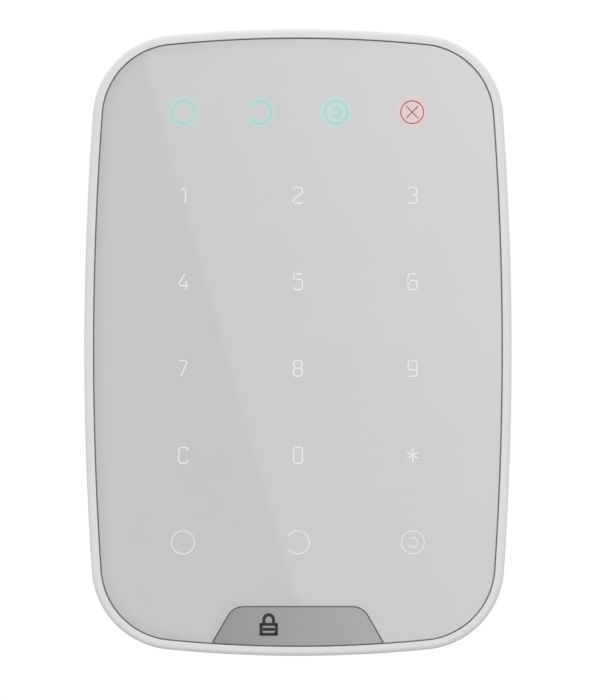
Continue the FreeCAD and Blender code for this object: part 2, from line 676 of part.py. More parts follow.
def make_power_button():
    """Push button in the back of the casing, over a tactile switch."""
    x, z = S.power_x, S.tamper_z
    cap = disc(x, z, S.shell_outside + S.power_back_gap, S.power_radius, S.power_cap_length)
    flange = disc(x, z, S.shell_inside + S.power_flange_gap, S.power_flange, S.flange_thick)
    keep("power_button", fuse(cap, flange))
    back, side = S.switch_back, S.power_switch_side
    switch = block(x, z, back, side, side, S.board_back - back)
    keep("power_switch", cut(switch, disc(x, z, back, S.power_stem_bore, S.stem_room)))
    keep("power_switch_stem", disc(x, z, S.power_stem_back, S.power_stem_radius, S.power_stem_length))


# ---- batteries ----

def make_bay(name, x):
    """One tray with two cells end to end, a contact spring at the foot and a plate at the top."""
    tray = body(f"battery_tray_{name}")
    thick = S.tray_front - S.tray_back
    pad(tray, rectangles_sketch(tray, S.tray_back, (x, S.bay_middle, TRAY_WIDTH, TRAY_LENGTH)), thick)
    inner = (x, S.bay_middle, S.tray_inner_width, S.tray_inner_length)
    pocket(tray, rectangles_sketch(tray, S.tray_back, inner), thick)
    ears = []
    for end in SIDES:
        ear_z = S.bay_middle + (TRAY_LENGTH / 2 + S.ear_offset) * end
        ears.append((x, ear_z, S.ear_width, S.ear_height))
    pad(tray, rectangles_sketch(tray, S.board_back - S.ear_thick, *ears), S.ear_thick)
    foot = S.bay_middle - S.tray_inner_length / 2
    depth = S.cell_depth
    for index in range(2):
        start = foot + S.spring_room + S.cell_length * index
        can = upright(x, depth, start, S.cell_radius, S.cell_length - S.nub_length)
        nub = upright(x, depth, start + S.cell_length - S.nub_length, S.nub_radius, S.nub_length)
        keep(f"battery_{name}_{index + 1}", fuse(can, nub))
    plate_foot = foot + S.spring_room + S.cell_length * 2
    top_plate = S.tray_inner_length - S.spring_room - S.cell_length * 2
    side = S.contact_side
    back = depth - side / 2
    keep(f"contact_plate_{name}", block(x, plate_foot + top_plate / 2, back, side, top_plate, side))
    base = block(x, foot + S.strip_thick / 2, back, side, S.strip_thick, side)
    wire = SIZES["contact_wire"]
    at = FreeCAD.Vector(x.value, -depth.value, foot.value + SIZES["strip_thick"] + wire + TOUCH)
    coil_sizes = (SIZES["contact_coil"], wire, SIZES["contact_pitch"], SIZES["contact_coil_length"])
    spring = coil(*coil_sizes, FreeCAD.Placement(at, FreeCAD.Rotation()))
    keep(f"contact_spring_{name}", group([base, spring]))


# ---- rear of the casing ----

def make_rear_shell():
    """White moulding: recess for the bracket, battery bulges, hook slots and the lock screw's boss."""
    shell = body("rear_shell")
    split_inset = S.split_inset + S.split_step
    back_edge = outline_sketch(shell, S.back_depth, S.back_inset)
    outer = loft(shell, back_edge, outline_sketch(shell, S.split_depth, split_inset))
    dress(shell, "Fillet", outer, edges_at(outer, S.back_depth), S.back_round)
    inside = S.split_depth - S.shell_inside
    wall = S.shell_inside - S.shell_outside
    pocket(shell, outline_sketch(shell, S.shell_inside, S.shell_cavity), inside)
    pocket(shell, outline_sketch(shell, S.back_depth, S.recess_inset), S.shell_outside - S.back_depth)
    lip = outline_sketch(shell, S.split_depth, S.lip_inset, S.shell_cavity)
    pad(shell, lip, S.lip_front - S.split_depth)
    bulges = [(x, S.bay_middle, BAY_WIDTH + S.bay_wall * 2, BAY_LENGTH + S.bay_wall * 2) for x in BAYS]
    pad(shell, rectangles_sketch(shell, S.back_depth, *bulges), S.shell_inside - S.back_depth)
    floor = S.back_depth + S.bay_wall
    bays = [(x, S.bay_middle, BAY_WIDTH, BAY_LENGTH) for x in BAYS]
    pocket(shell, rectangles_sketch(shell, floor, *bays), S.shell_inside - floor)
    pad(shell, circles_sketch(shell, S.shell_inside, BOSSES, S.shell_boss_radius), inside)
    wall_block = (0, -(S.notch_top - S.block_drop), (S.notch_half + S.block_wall) * 2, S.block_thick)
    screw_block = (0, -(S.notch_top - S.screw_block / 2), S.screw_block, S.screw_block)
    pad(shell, rectangles_sketch(shell, S.shell_outside, wall_block), S.split_depth - S.shell_outside)
    pad(shell, rectangles_sketch(shell, S.shell_outside, screw_block), S.split_depth - S.shell_outside)
    tamper_place, power_place = [(S.tamper_x, S.tamper_z)], [(S.power_x, S.tamper_z)]
    pad(shell, circles_sketch(shell, S.shell_inside, tamper_place, S.guide_radius), S.guide_height)
    pocket(shell, circles_sketch(shell, S.shell_outside, BOSSES, S.head_hole), S.head_floor - S.shell_outside)
    shank_holes = circles_sketch(shell, S.head_floor, BOSSES, S.pilot_radius + S.screw_clear)
    pocket(shell, shank_holes, S.split_depth - S.head_floor)
    slots = []
    for x, z in HOOKS:
        slot_height = S.hook_stem + S.travel + S.slot_clear * 3
        slot_z = z + S.hook_stem + S.slot_clear - slot_height / 2
        slots.append((x, slot_z, S.hook_width + S.slot_clear * 2, slot_height))
    pocket(shell, rectangles_sketch(shell, S.shell_outside, *slots), wall)
    guide = circles_sketch(shell, S.shell_outside, tamper_place, S.tamper_radius + S.guide_clear)
    pocket(shell, guide, S.guide_bore_depth)
    pocket(shell, circles_sketch(shell, S.shell_outside, power_place, S.power_radius + S.power_clear), wall)
    sound = []
    for n in (-2, -1, 0, 1, 2):
        sound.append((S.sounder_x + S.sound_pitch * n, S.sounder_z, S.sound_slit, S.sound_slit_length))
    pocket(shell, rectangles_sketch(shell, S.shell_outside, *sound), wall)
    notch_height = HALF_HEIGHT + S.notch_over - S.notch_top
    notch = (0, -(S.notch_top + notch_height / 2), S.notch_half * 2, notch_height)
    pocket(shell, rectangles_sketch(shell, S.notch_back, notch), S.notch_front - S.notch_back)
    relief = circles_sketch(shell, S.split_depth, BOSSES, S.boss_radius + S.boss_clear)
    pocket(shell, relief, S.lip_front - S.split_depth)
    bore = level_sketch(shell, -S.notch_top)
    add_circle(bore, 0, -S.lock_depth, S.lock_shank + S.lock_pilot_clear)
    pocket(shell, bore, S.lock_bore)
    label_back = S.shell_outside - S.label_thick
    keep("rear_label", block(S.tab_x, S.label_z, label_back, S.label_width, S.label_height, S.label_thick))


def make_screws():
    """Pan-head screws with a cross recess, from the wall side."""
    def screw(x, z, head_back, head_radius, head_thick, shank_radius, shank_length):
        head = disc(x, z, head_back, head_radius, head_thick)
        shank = disc(x, z, head_back + head_thick, shank_radius, shank_length)
        reach, width = head_radius * RECESS_REACH, head_radius * RECESS_WIDTH
        depth = head_thick * RECESS_DEPTH
        arms = fuse(block(x, z, head_back, reach, width, depth), block(x, z, head_back, width, reach, depth))
        return cut(fuse(head, shank), arms)

    shell_size = (S.shell_head, S.shell_head_thick, S.shell_shank, S.shell_screw_length)
    back = S.head_floor - S.shell_head_thick
    keep("shell_screws", group([screw(x, z, back, *shell_size) for x, z in BOSSES]))
    board_size = (S.board_head, S.board_head_thick, S.board_shank, S.board_screw_length)
    back = S.board_back - S.board_head_thick
    keep("board_screws", group([screw(x, z, back, *board_size) for x, z in POSTS]))


# ---- wall bracket and its lock screw ----

def make_bracket():
    """Wall plate with hooks, screw holes, a perforated tamper tab and a foot for the lock screw."""
    bracket = body("wall_bracket")
    plate_height = S.body_height - S.plate_inset * 2 - S.plate_rise * 2
    plate = outline_sketch(bracket, 0, S.plate_inset, height=plate_height, rise=S.plate_rise)
    pad(bracket, plate, S.plate_thick)
    tongue = (0, -(S.tongue_end + S.tongue_top) / 2, S.tongue_half * 2, S.tongue_end - S.tongue_top)
    pad(bracket, rectangles_sketch(bracket, 0, tongue), S.plate_thick)
    foot = (0, -(S.tongue_end - S.tongue_thick / 2), S.tongue_half * 2, S.tongue_thick)
    pad(bracket, rectangles_sketch(bracket, 0, foot), S.tongue_front)
    bulge_width = BAY_WIDTH + S.bay_wall * 2 + S.window_gap * 2
    bulge_length = BAY_LENGTH + S.bay_wall * 2 + S.window_gap * 2 + S.travel
    windows = [(x, S.bay_middle + S.travel / 2, bulge_width, bulge_length) for x in BAYS]
    pocket(bracket, rectangles_sketch(bracket, 0, *windows), S.plate_thick)
    stems = [(x, z + S.hook_stem / 2, S.hook_width, S.hook_stem) for x, z in HOOKS]
    pad(bracket, rectangles_sketch(bracket, S.plate_thick, *stems), S.hook_front - S.plate_thick)
    lips = [(x, z + S.hook_stem + S.hook_lip / 2, S.hook_width, S.hook_lip) for x, z in HOOKS]
    pad(bracket, rectangles_sketch(bracket, S.hook_back, *lips), S.hook_front - S.hook_back)
    tabs = [(S.tab_x * side, S.tab_z) for side in SIDES]
    holes = corner_places(S.hole_x, S.hole_z, S.hole_rise) + tabs
    drilled = pocket(bracket, circles_sketch(bracket, 0, holes, S.hole_radius), S.plate_thick)

    def is_hole(edge):
        return isinstance(edge.Curve, Part.Circle) and abs(edge.Curve.Radius - SIZES["hole_radius"]) < NEAR

    names = edges_at(drilled, S.plate_thick, is_hole)
    dress(bracket, "Chamfer", drilled, names, S.countersink)
    half = S.tab_side / 2
    middle = S.tab_z - S.slit_drop
    slits = [(S.tab_x + half * side, middle, S.slit, S.tab_side - S.slit_short) for side in SIDES]
    for end in SIDES:
        slit_z = middle + (half + S.slit_past) * end
        slits += [(S.tab_x + S.slit_offset * side, slit_z, S.slit_length, S.slit) for side in SIDES]
    pocket(bracket, rectangles_sketch(bracket, 0, *slits), S.plate_thick)
    bore = level_sketch(bracket, -S.tongue_end)
    add_circle(bore, 0, -S.lock_depth, S.lock_shank + S.lock_bore_clear)
    bored = pocket(bracket, bore, S.tongue_thick)
    level = -SIZES["tongue_end"]
    mouth = []
    for index, edge in enumerate(bored.Shape.Edges, start=1):
        if isinstance(edge.Curve, Part.Circle) and abs(edge.BoundBox.ZMin - level) < NEAR:
            if abs(edge.BoundBox.ZMax - level) < NEAR:
                mouth.append(f"Edge{index}")
    dress(bracket, "Chamfer", bored, mouth, S.lock_head - S.lock_shank)


def make_lock_screw():
    """Countersunk screw that pins the casing to the bracket's foot from below."""
    foot = -S.tongue_end
    cone = upright(0, S.lock_depth, foot, S.lock_head, S.lock_head - S.lock_shank, S.lock_shank)
    shank = upright(0, S.lock_depth, foot, S.lock_shank, S.lock_length)
    arms = []
    for width, thick in ((S.lock_cross, S.lock_cross_thick), (S.lock_cross_thick, S.lock_cross)):
        middle, depth = foot + S.lock_cross_depth / 2, S.lock_depth - thick / 2
        arms.append(block(0, middle, depth, width, S.lock_cross_depth, thick))
    keep("lock_screw", cut(fuse(cone, shank), fuse(*arms)))


def write_parts():
    """Stops at any failed object or bad shape, then writes one STEP file for each sub-part."""
    doc.recompute()
    for thing in doc.Objects:
        if "Invalid" in thing.State or "Error" in thing.State:
            raise RuntimeError(f"{thing.Name} ({thing.Label}) failed: {thing.State}")
    os.makedirs("parts", exist_ok=True)
    for label, thing in sorted(parts.items()):
        shape = thing.Shape
        if shape.isNull() or not shape.isValid() or not shape.Solids:
            raise RuntimeError(f"{label} has no valid solid")
        shape.exportStep(f"parts/{label}.step")
        print(f"{label}: {len(shape.Solids)} solids, {shape.Volume:.1f} mm3")


make_front_frame()
make_panel()
make_films()
make_board()
make_baffle()
make_back_components()
make_tamper()
make_power_button()
for bay_name, bay_x in zip(("left", "right"), BAYS):
    make_bay(bay_name, bay_x)
make_rear_shell()
make_screws()
make_bracket()
make_lock_screw()
write_parts()
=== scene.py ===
"""Alarm keypad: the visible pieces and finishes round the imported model, laid out as an add-on."""

import json
import math

import bmesh
import bpy
from mathutils import Matrix, Vector


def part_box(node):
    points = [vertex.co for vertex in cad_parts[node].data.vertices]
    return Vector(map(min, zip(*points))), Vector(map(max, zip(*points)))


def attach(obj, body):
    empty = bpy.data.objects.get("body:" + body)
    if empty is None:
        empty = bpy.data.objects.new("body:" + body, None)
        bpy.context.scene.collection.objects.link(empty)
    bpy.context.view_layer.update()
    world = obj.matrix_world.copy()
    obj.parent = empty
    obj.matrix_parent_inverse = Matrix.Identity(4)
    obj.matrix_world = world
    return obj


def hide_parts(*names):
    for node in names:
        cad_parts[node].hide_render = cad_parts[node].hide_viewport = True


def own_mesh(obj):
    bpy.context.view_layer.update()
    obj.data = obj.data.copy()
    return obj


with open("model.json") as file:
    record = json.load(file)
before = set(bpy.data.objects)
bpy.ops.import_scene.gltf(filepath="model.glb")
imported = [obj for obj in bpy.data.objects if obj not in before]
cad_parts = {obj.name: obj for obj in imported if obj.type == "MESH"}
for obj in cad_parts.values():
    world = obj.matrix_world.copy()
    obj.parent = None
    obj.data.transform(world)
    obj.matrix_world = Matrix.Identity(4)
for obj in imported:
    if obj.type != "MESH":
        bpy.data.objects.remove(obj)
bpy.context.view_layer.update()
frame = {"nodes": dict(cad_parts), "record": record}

bl_info = {
    "name": "Alarm keypad",
    "version": (1, 0, 0),
    "blender": (4, 5, 0),
    "location": "3D View > Sidebar > Keypad",
    "description": "Builds the casing, panel, legends and studio of a wall-mounted alarm keypad",
    "category": "Add Mesh",
}

MM = 0.001
FRAME_LOW, FRAME_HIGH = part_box("front_frame")
PANEL_LOW, PANEL_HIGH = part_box("touch_panel")
BADGE_LOW, BADGE_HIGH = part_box("badge_plate")
KEY_LIGHTS_LOW, KEY_LIGHTS_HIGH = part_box("key_leds")
STATUS_LIGHTS_LOW, STATUS_LIGHTS_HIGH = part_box("indicator_leds")
PANEL_FRONT = -PANEL_LOW.y
# a light emitter's width and height, as the lamps of the keys and of the status row have them
EMITTER = Vector((2.0 * MM, 0, 1.25 * MM))
KEY_PITCH_X = (KEY_LIGHTS_HIGH.x - KEY_LIGHTS_LOW.x - EMITTER.x) / 2
KEY_PITCH_Z = (KEY_LIGHTS_HIGH.z - KEY_LIGHTS_LOW.z - EMITTER.z) / 4
TOP_KEY_ROW = KEY_LIGHTS_HIGH.z - EMITTER.z / 2
STATUS_PITCH = (STATUS_LIGHTS_HIGH.x - STATUS_LIGHTS_LOW.x - EMITTER.x) / 3
# the status print sits a little above the middle of the lights behind it
STATUS_PRINT_RISE = 0.27 * MM
STATUS_ROW = STATUS_LIGHTS_HIGH.z - EMITTER.z / 2 + STATUS_PRINT_RISE
FLAT_STEPS = 20
CORNER_STEPS = 28
# where the bottom arc stands in the list that outline_arcs gives
BOTTOM_ARC = 6


# ---- what a user would change ----

def length(name, description, default):
    return bpy.props.FloatProperty(
        name=name, description=description, default=default, precision=5, unit="LENGTH", subtype="DISTANCE"
    )


def number(name, description, default):
    return bpy.props.FloatProperty(name=name, description=description, default=default, min=0)


def colour(name, description, default):
    return bpy.props.FloatVectorProperty(
        name=name, description=description, default=default, size=3, min=0, max=1, subtype="COLOR"
    )


class KeypadSizes(bpy.types.PropertyGroup):
    """Sizes of the keypad's visible pieces"""

    half_width: length("Half width", "Half the casing's width", 51.5 * MM)
    half_height: length("Half height", "Half the casing's height", 75.625 * MM)
    side_radius: length("Side bow", "Radius of the bowed long sides", 780 * MM)
    end_radius: length("End bow", "Radius of the bowed top and bottom", 315 * MM)
    corner_radius: length("Corner radius", "Radius of the casing's corners", 20.3 * MM)
    rim_width: length("Rim width", "From the casing's edge to the panel's opening", 2.15 * MM)
    rim_round: length("Rim rounding", "Rounding of the rim's outer edge", 1.1 * MM)
    lip_round: length("Lip rounding", "Rounding of the panel opening's edge", 0.2 * MM)
    panel_gap: length("Panel gap", "Gap between the rim and the panel", 0.27 * MM)
    panel_round: length("Panel edge", "Rounding of the panel's edge", 0.2 * MM)
    # the panel's darker border is painted shade, strongest at the left and gone at the right
    painted_shade_width: length("Panel border", "Width of the panel's slightly darker border", 2.6 * MM)
    badge_half_top: length("Badge half top", "Half the badge's width at the top", 15.6 * MM)
    badge_half_bottom: length("Badge half bottom", "Half the badge's width at its foot", 20.9 * MM)
    badge_top: length("Badge top", "Height of the badge's top edge below the middle", 63.75 * MM)
    badge_foot: length("Badge foot", "Distance below the middle where the foot's width holds", 72.95 * MM)
    badge_corner: length("Badge corner", "Radius of the badge's upper corners", 4.4 * MM)
    badge_gap: length("Badge gap", "Gap between the panel and the badge", 0.16 * MM)
    stroke_width: length("Stroke width", "Width of the printed legends' strokes", 0.34 * MM)
    ring_stroke: length("Ring stroke", "Width of the status rings' strokes", 0.3 * MM)
    symbol_stroke: length("Symbol stroke", "Width of the arming symbols' strokes", 0.24 * MM)
    print_thickness: length("Print thickness", "Height of the print above the panel", 0.03 * MM)
    digit_half_width: length("Digit half width", "Half the width of a digit", 1.06 * MM)
    digit_half_height: length("Digit half height", "Half the height of a digit", 1.88 * MM)
    digit_round: length("Digit rounding", "Radius of a digit's round corners", 0.62 * MM)
    star_radius: length("Star radius", "Length of the star's upright arms", 1.78 * MM)
    ring_radius: length("Ring radius", "Radius of the ring symbols", 2.75 * MM)
    inner_ring_radius: length("Inner ring radius", "Radius of the small ring in a ring symbol", 1.15 * MM)


class KeypadColours(bpy.types.PropertyGroup):
    """Colours of the keypad's visible pieces"""

    casing: colour("Casing", "White moulded casing", (0.675, 0.676, 0.678))
    bracket: colour("Bracket", "White wall bracket", (0.76, 0.765, 0.77))
    panel: colour("Panel", "Grey touch panel", (0.533, 0.533, 0.533))
    badge: colour("Badge", "Darker badge plate", (0.252, 0.254, 0.258))
    legend: colour("Legend", "White printed legends", (0.80, 0.80, 0.80))
    armed_light: colour("Ready light", "Turquoise status symbols", (0.36, 0.60, 0.56))
    fault_light: colour("Fault light", "Red status symbol", (0.30, 0.07, 0.075))
    mark: colour("Mark", "Black print on the badge", (0.004, 0.004, 0.004))


class KeypadStudio(bpy.types.PropertyGroup):
    """Camera, lights and floor"""

    lens: bpy.props.FloatProperty(name="Lens", description="Focal length in millimetres", default=200, min=20)
    distance: length("Camera distance", "From the camera to the panel", 0.9364)
    elevation: bpy.props.FloatProperty(
        name="Elevation", description="Camera's angle above level", default=math.radians(-3), subtype="ANGLE"
    )
    aim_x: length("Aim across", "Where the camera aims, across", 2.31 * MM)
    aim_z: length("Aim up", "Where the camera aims, upwards", -2.16 * MM)
    floor_drop: length("Floor drop", "From the keypad's lower edge to the floor", 0.3)
    floor_radius: length("Floor radius", "Radius of the round floor", 0.36)
    even_light: number("Even light", "Brightness of the light from all round", 0.82)
    front_light: number("Front light", "How much brighter it is in front, and darker behind", 0.2)
    top_light: number("Top light", "How much brighter it is above, and darker below", 0.47)
    softbox: number("Softbox", "Power of the tilted softbox", 0.8)
    softbox_rise: number("Softbox rise", "How much brighter the softbox is at its far side", 5.5)


# ---- outlines ----

def corner_centre(sizes):
    """Centre of the corner arc that touches a side arc and an end arc from within."""
    side = Vector((sizes.half_width - sizes.side_radius, 0))
    end = Vector((0, sizes.half_height - sizes.end_radius))
    near, far = sizes.side_radius - sizes.corner_radius, sizes.end_radius - sizes.corner_radius
    step = end - side
    along = (near**2 - far**2 + step.length_squared) / (2 * step.length)
    across = math.sqrt(near**2 - along**2)
    step.normalize()
    return side + step * along + Vector((-step.y, step.x)) * across


def outline_arcs(sizes, inset):
    """The casing's eight tangent arcs, moved inwards: centre, radius, first and last angle."""
    middle = corner_centre(sizes)
    side_offset = sizes.side_radius - sizes.half_width
    end_offset = sizes.end_radius - sizes.half_height
    low = math.atan2(middle.y, middle.x + side_offset)
    high = math.atan2(middle.y + end_offset, middle.x)
    turns = [-low, low, high, math.pi - high, math.pi - low]
    turns += [angle + math.pi for angle in turns[1:]]
    side, end, corner = (r - inset for r in (sizes.side_radius, sizes.end_radius, sizes.corner_radius))
    arcs = []
    for turn, (sign_x, sign_z) in enumerate(((1, 1), (-1, 1), (-1, -1), (1, -1))):
        flat = (Vector((-side_offset * sign_x, 0)), side)
        if turn % 2:
            flat = (Vector((0, -end_offset * sign_z)), end)
        rounded = (Vector((middle.x * sign_x, middle.y * sign_z)), corner)
        arcs += [flat, rounded]
    # the walk starts on the right-hand side and runs: side, corner, end, corner, and again
    return [(centre, radius, start, stop) for (centre, radius), start, stop in zip(arcs, turns, turns[1:])]


def arc_points(centre, radius, start, stop, steps):
    """Points along an arc, with its last point left to the next arc."""
    turn = (stop - start) / steps
    angles = [start + turn * n for n in range(steps)]
    return [centre + radius * Vector((math.cos(angle), math.sin(angle))) for angle in angles]


def casing_outline(sizes, inset):
    points = []
    for index, (centre, radius, start, stop) in enumerate(outline_arcs(sizes, inset)):
        points += arc_points(centre, radius, start, stop, CORNER_STEPS if index % 2 else FLAT_STEPS)
    return points


def badge_side(sizes, inset):
    """The badge's left-hand side as a point and a direction, with the outside moved by inset."""
    top = Vector((-sizes.badge_half_top, -sizes.badge_top))
    foot = Vector((-sizes.badge_half_bottom, -sizes.badge_foot))
    along = (top - foot).normalized()
    inwards = Vector((along.y, -along.x))
    return foot + inwards * inset, along


def badge_outline(sizes, end_inset, inset, corner, steps=12):
    """The badge's sides and top from lower left to lower right. Its foot lies on the casing's end arc."""
    point, along = badge_side(sizes, inset)
    centre, radius, _, _ = outline_arcs(sizes, end_inset)[BOTTOM_ARC]
    reach = point - centre
    ahead = reach.dot(along)
    foot = point - along * (ahead + math.sqrt(ahead**2 - reach.length_squared + radius**2))
    top = -sizes.badge_top - inset
    lean = math.atan2(along.y, along.x)
    meet = point + along * ((top - point.y) / along.y)
    back = corner * math.tan(lean / 2)
    hub = Vector((meet.x + back, top - corner))
    start = lean + math.pi / 2
    left = [foot] + arc_points(hub, corner, start, math.pi / 2, steps) + [Vector((hub.x, top))]
    right = [Vector((-p.x, p.y)) for p in reversed(left)]
    return left + right


def bearing(point, centre):
    """The direction of a point from a centre, from 0 to a full turn."""
    return math.atan2(point.y - centre.y, point.x - centre.x) % (2 * math.pi)


def panel_outline(sizes, inset, badge_inset, corner):
    """The panel's outline: the casing's, with the badge's cut out of its lower end."""
    notch = badge_outline(sizes, inset, badge_inset, corner)
    points = []
    for index, (centre, radius, start, stop) in enumerate(outline_arcs(sizes, inset)):
        if index != BOTTOM_ARC:
            points += arc_points(centre, radius, start, stop, CORNER_STEPS if index % 2 else FLAT_STEPS)
            continue
        left, right = bearing(notch[0], centre), bearing(notch[-1], centre)
        points += arc_points(centre, radius, start, left, 8) + notch
        points += arc_points(centre, radius, right, stop, 8)[1:]
    return points


def badge_closed(sizes, end_inset, inset, corner):
    """The whole badge: its sides and top, closed along the casing's bottom arc."""
    upper = badge_outline(sizes, end_inset, inset, corner)
    centre, radius, _, _ = outline_arcs(sizes, end_inset)[BOTTOM_ARC]
    left, right = bearing(upper[0], centre), bearing(upper[-1], centre)
    return upper + arc_points(centre, radius, right, left, 16)[1:]


# ---- meshes ----

def lift(points, depth):
    """Turns points on the wall's plane into places at this depth from the wall."""
    return [Vector((p.x, -depth, p.y)) for p in points]


def add_loft(mesh, rings, closed=False):
    """Joins rings of equal length by faces. A closed loft meets its own start. Others get caps."""
    made = [[mesh.verts.new(place) for place in ring] for ring in rings]
    pairs = list(zip(made, made[1:])) + ([(made[-1], made[0])] if closed else [])
    for lower, upper in pairs:
        for index in range(len(lower)):
            after = (index + 1) % len(lower)
            mesh.faces.new((lower[index], lower[after], upper[after], upper[index]))
    if not closed:
        mesh.faces.new(made[0])
        mesh.faces.new(made[-1])


def circle(x, z, radius, steps=32):
    angles = [2 * math.pi * n / steps for n in range(steps)]
    return [Vector((x + radius * math.cos(angle), z + radius * math.sin(angle))) for angle in angles]


def quarter(count):
    """Angles of a quarter turn, both ends included."""
    return [math.pi / 2 * n / count for n in range(count + 1)]


def rounded_steps(back, front, edge, count):
    """Inset and depth of a plate's rings, from its back up to and round its front edge."""
    hub = front - edge
    round_edge = [(edge - edge * math.cos(a), hub + edge * math.sin(a)) for a in quarter(count)[1:]]
    return [(0.0, back), (0.0, hub)] + round_edge


def new_piece(name, mesh, finish_name, sharp_angle=35):
    """A finished object from a mesh under construction: normals outwards, smooth but for its sharp edges."""
    bmesh.ops.recalc_face_normals(mesh, faces=mesh.faces)
    data = bpy.data.meshes.new(name)
    mesh.to_mesh(data)
    mesh.free()
    return place_piece(name, data, finish_name, sharp_angle)


def place_piece(name, data, finish_name, sharp_angle=35):
    data.name = name
    data.shade_smooth()
    data.set_sharp_from_angle(angle=math.radians(sharp_angle))
    data.materials.clear()
    data.materials.append(finish(finish_name))
    piece = bpy.data.objects.new(name, data)
    bpy.context.scene.collection.objects.link(piece)
    return piece


def weigh_normals(piece):
    """Lets the larger faces set the normals at shared corners, to keep flat faces flat to the eye."""
    modifier = piece.modifiers.new("weighted_normals", "WEIGHTED_NORMAL")
    modifier.keep_sharp = True
    modifier.weight = 100
    return piece


def evaluated_mesh(thing):
    """The plain mesh that an object's modifiers make."""
    graph = bpy.context.evaluated_depsgraph_get()
    return bpy.data.meshes.new_from_object(thing.evaluated_get(graph), depsgraph=graph)


def settle(piece, body, slot, *nodes):
    """Puts a piece on its body and hides the nodes that it stands for. Its slot argument is not used."""
    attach(piece, body)
    if nodes:
        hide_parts(*nodes)
    return piece


# ---- finishes ----

class Recipe:
    """A material under construction: one shader, and short calls for the nodes that feed it."""

    def __init__(self, name, base, roughness, metallic=0.0, **sockets):
        self.material = bpy.data.materials.new(name)
        self.material.use_nodes = True
        self.tree = self.material.node_tree
        self.shader = self.tree.nodes["Principled BSDF"]
        self.set("Base Color", (*base, 1))
        self.set("Roughness", roughness)
        self.set("Metallic", metallic)
        for socket, value in sockets.items():
            self.set(socket.replace("_", " "), value)
        self.place = self.node("ShaderNodeTexCoord").outputs["Object"]
        self.height = None

    def node(self, kind, inputs=None, **settings):
        made = self.tree.nodes.new(kind)
        for key, value in settings.items():
            setattr(made, key, value)
        for socket, value in (inputs or {}).items():
            self.feed(made.inputs[socket], value)
        return made

    def feed(self, socket, value):
        if isinstance(value, bpy.types.NodeSocket):
            self.tree.links.new(value, socket)
        else:
            socket.default_value = value

    def set(self, socket, value):
        self.feed(self.shader.inputs[socket], value)

    def scaled(self, scale, turn=(0, 0, 0), shift=(0, 0, 0)):
        inputs = {"Vector": self.place, "Scale": scale, "Rotation": turn, "Location": shift}
        return self.node("ShaderNodeMapping", inputs).outputs[0]

    def noise(self, size, detail=3.0, rough=0.5, place=None):
        """Cloudy noise with patches of about this size in metres."""
        inputs = {"Vector": place or self.place, "Scale": 1 / size, "Detail": detail, "Roughness": rough}
        return self.node("ShaderNodeTexNoise", inputs).outputs["Fac"]

    def cells(self, size, feature="F1", place=None):
        inputs = {"Vector": place or self.place, "Scale": 1 / size}
        return self.node("ShaderNodeTexVoronoi", inputs, feature=feature).outputs["Distance"]

    def range(self, value, low, high, to_low=0.0, to_high=1.0):
        inputs = {"Value": value, "From Min": low, "From Max": high, "To Min": to_low, "To Max": to_high}
        return self.node("ShaderNodeMapRange", inputs, clamp=True).outputs[0]

    def math(self, operation, first, second=0.0):
        return self.node("ShaderNodeMath", {0: first, 1: second}, operation=operation).outputs[0]

    def blend(self, amount, first, second):
        """Mixes two colours."""
        made = self.node("ShaderNodeMix", {"Factor": amount}, data_type="RGBA")
        for socket, value in ((6, first), (7, second)):
            self.feed(made.inputs[socket], value if isinstance(value, bpy.types.NodeSocket) else (*value, 1))
        return made.outputs[2]

    def axis(self, letter, place=None):
        return self.node("ShaderNodeSeparateXYZ", {0: place or self.place}).outputs[letter]

    def bump(self, height, distance, strength=1.0):
        """Relief of this depth in metres, on top of any relief that was added before."""
        inputs = {"Height": height, "Distance": distance, "Strength": strength}
        made = self.node("ShaderNodeBump", inputs)
        if self.height is not None:
            self.tree.links.new(self.height, made.inputs["Normal"])
        self.height = made.outputs[0]
        self.set("Normal", self.height)


def shade(base, factor):
    return tuple(min(1.0, channel * factor) for channel in base)


def moulded(name, base, roughness=0.45, grain=0.16 * MM, depth=0.006 * MM, variation=0.03, **sockets):
    """Spark-textured moulded plastic: fine grain, slow tone drift and slightly uneven gloss."""
    made = Recipe(name, base, roughness, **sockets)
    drift = made.range(made.noise(14 * MM, 2.0), 0.35, 0.65)
    made.set("Base Color", made.blend(drift, shade(base, 1 - variation), shade(base, 1 + variation)))
    pits = made.noise(grain, 2.0, 0.6)
    made.set("Roughness", made.range(made.noise(3 * MM, 3.0), 0.3, 0.7, roughness - 0.04, roughness + 0.05))
    made.bump(pits, depth)
    return made


def brushed(name, base, roughness=0.3, along=(1, 1, 0.04), **sockets):
    """Metal with fine drawn lines and faint tarnish."""
    made = Recipe(name, base, roughness, metallic=1.0, **sockets)
    lines = made.noise(0.09 * MM, 4.0, 0.65, place=made.scaled(along))
    stain = made.range(made.noise(2.2 * MM, 4.0), 0.4, 0.75)
    made.set("Base Color", made.blend(stain, shade(base, 1.04), shade(base, 0.86)))
    made.set("Roughness", made.range(lines, 0.25, 0.75, roughness - 0.08, roughness + 0.12))
    made.bump(lines, 0.002 * MM)
    return made


def clear_gloss(name, base, roughness=0.12, **sockets):
    """Smooth glossy plastic with faint smears."""
    made = Recipe(name, base, roughness, **sockets)
    smear = made.noise(9 * MM, 5.0, 0.62)
    made.set("Base Color", made.blend(made.range(smear, 0.3, 0.7), shade(base, 0.985), shade(base, 1.015)))
    made.set("Roughness", made.range(smear, 0.3, 0.7, roughness - 0.02, roughness + 0.03))
    made.bump(made.noise(22 * MM, 1.0), 0.004 * MM, 0.4)
    return made


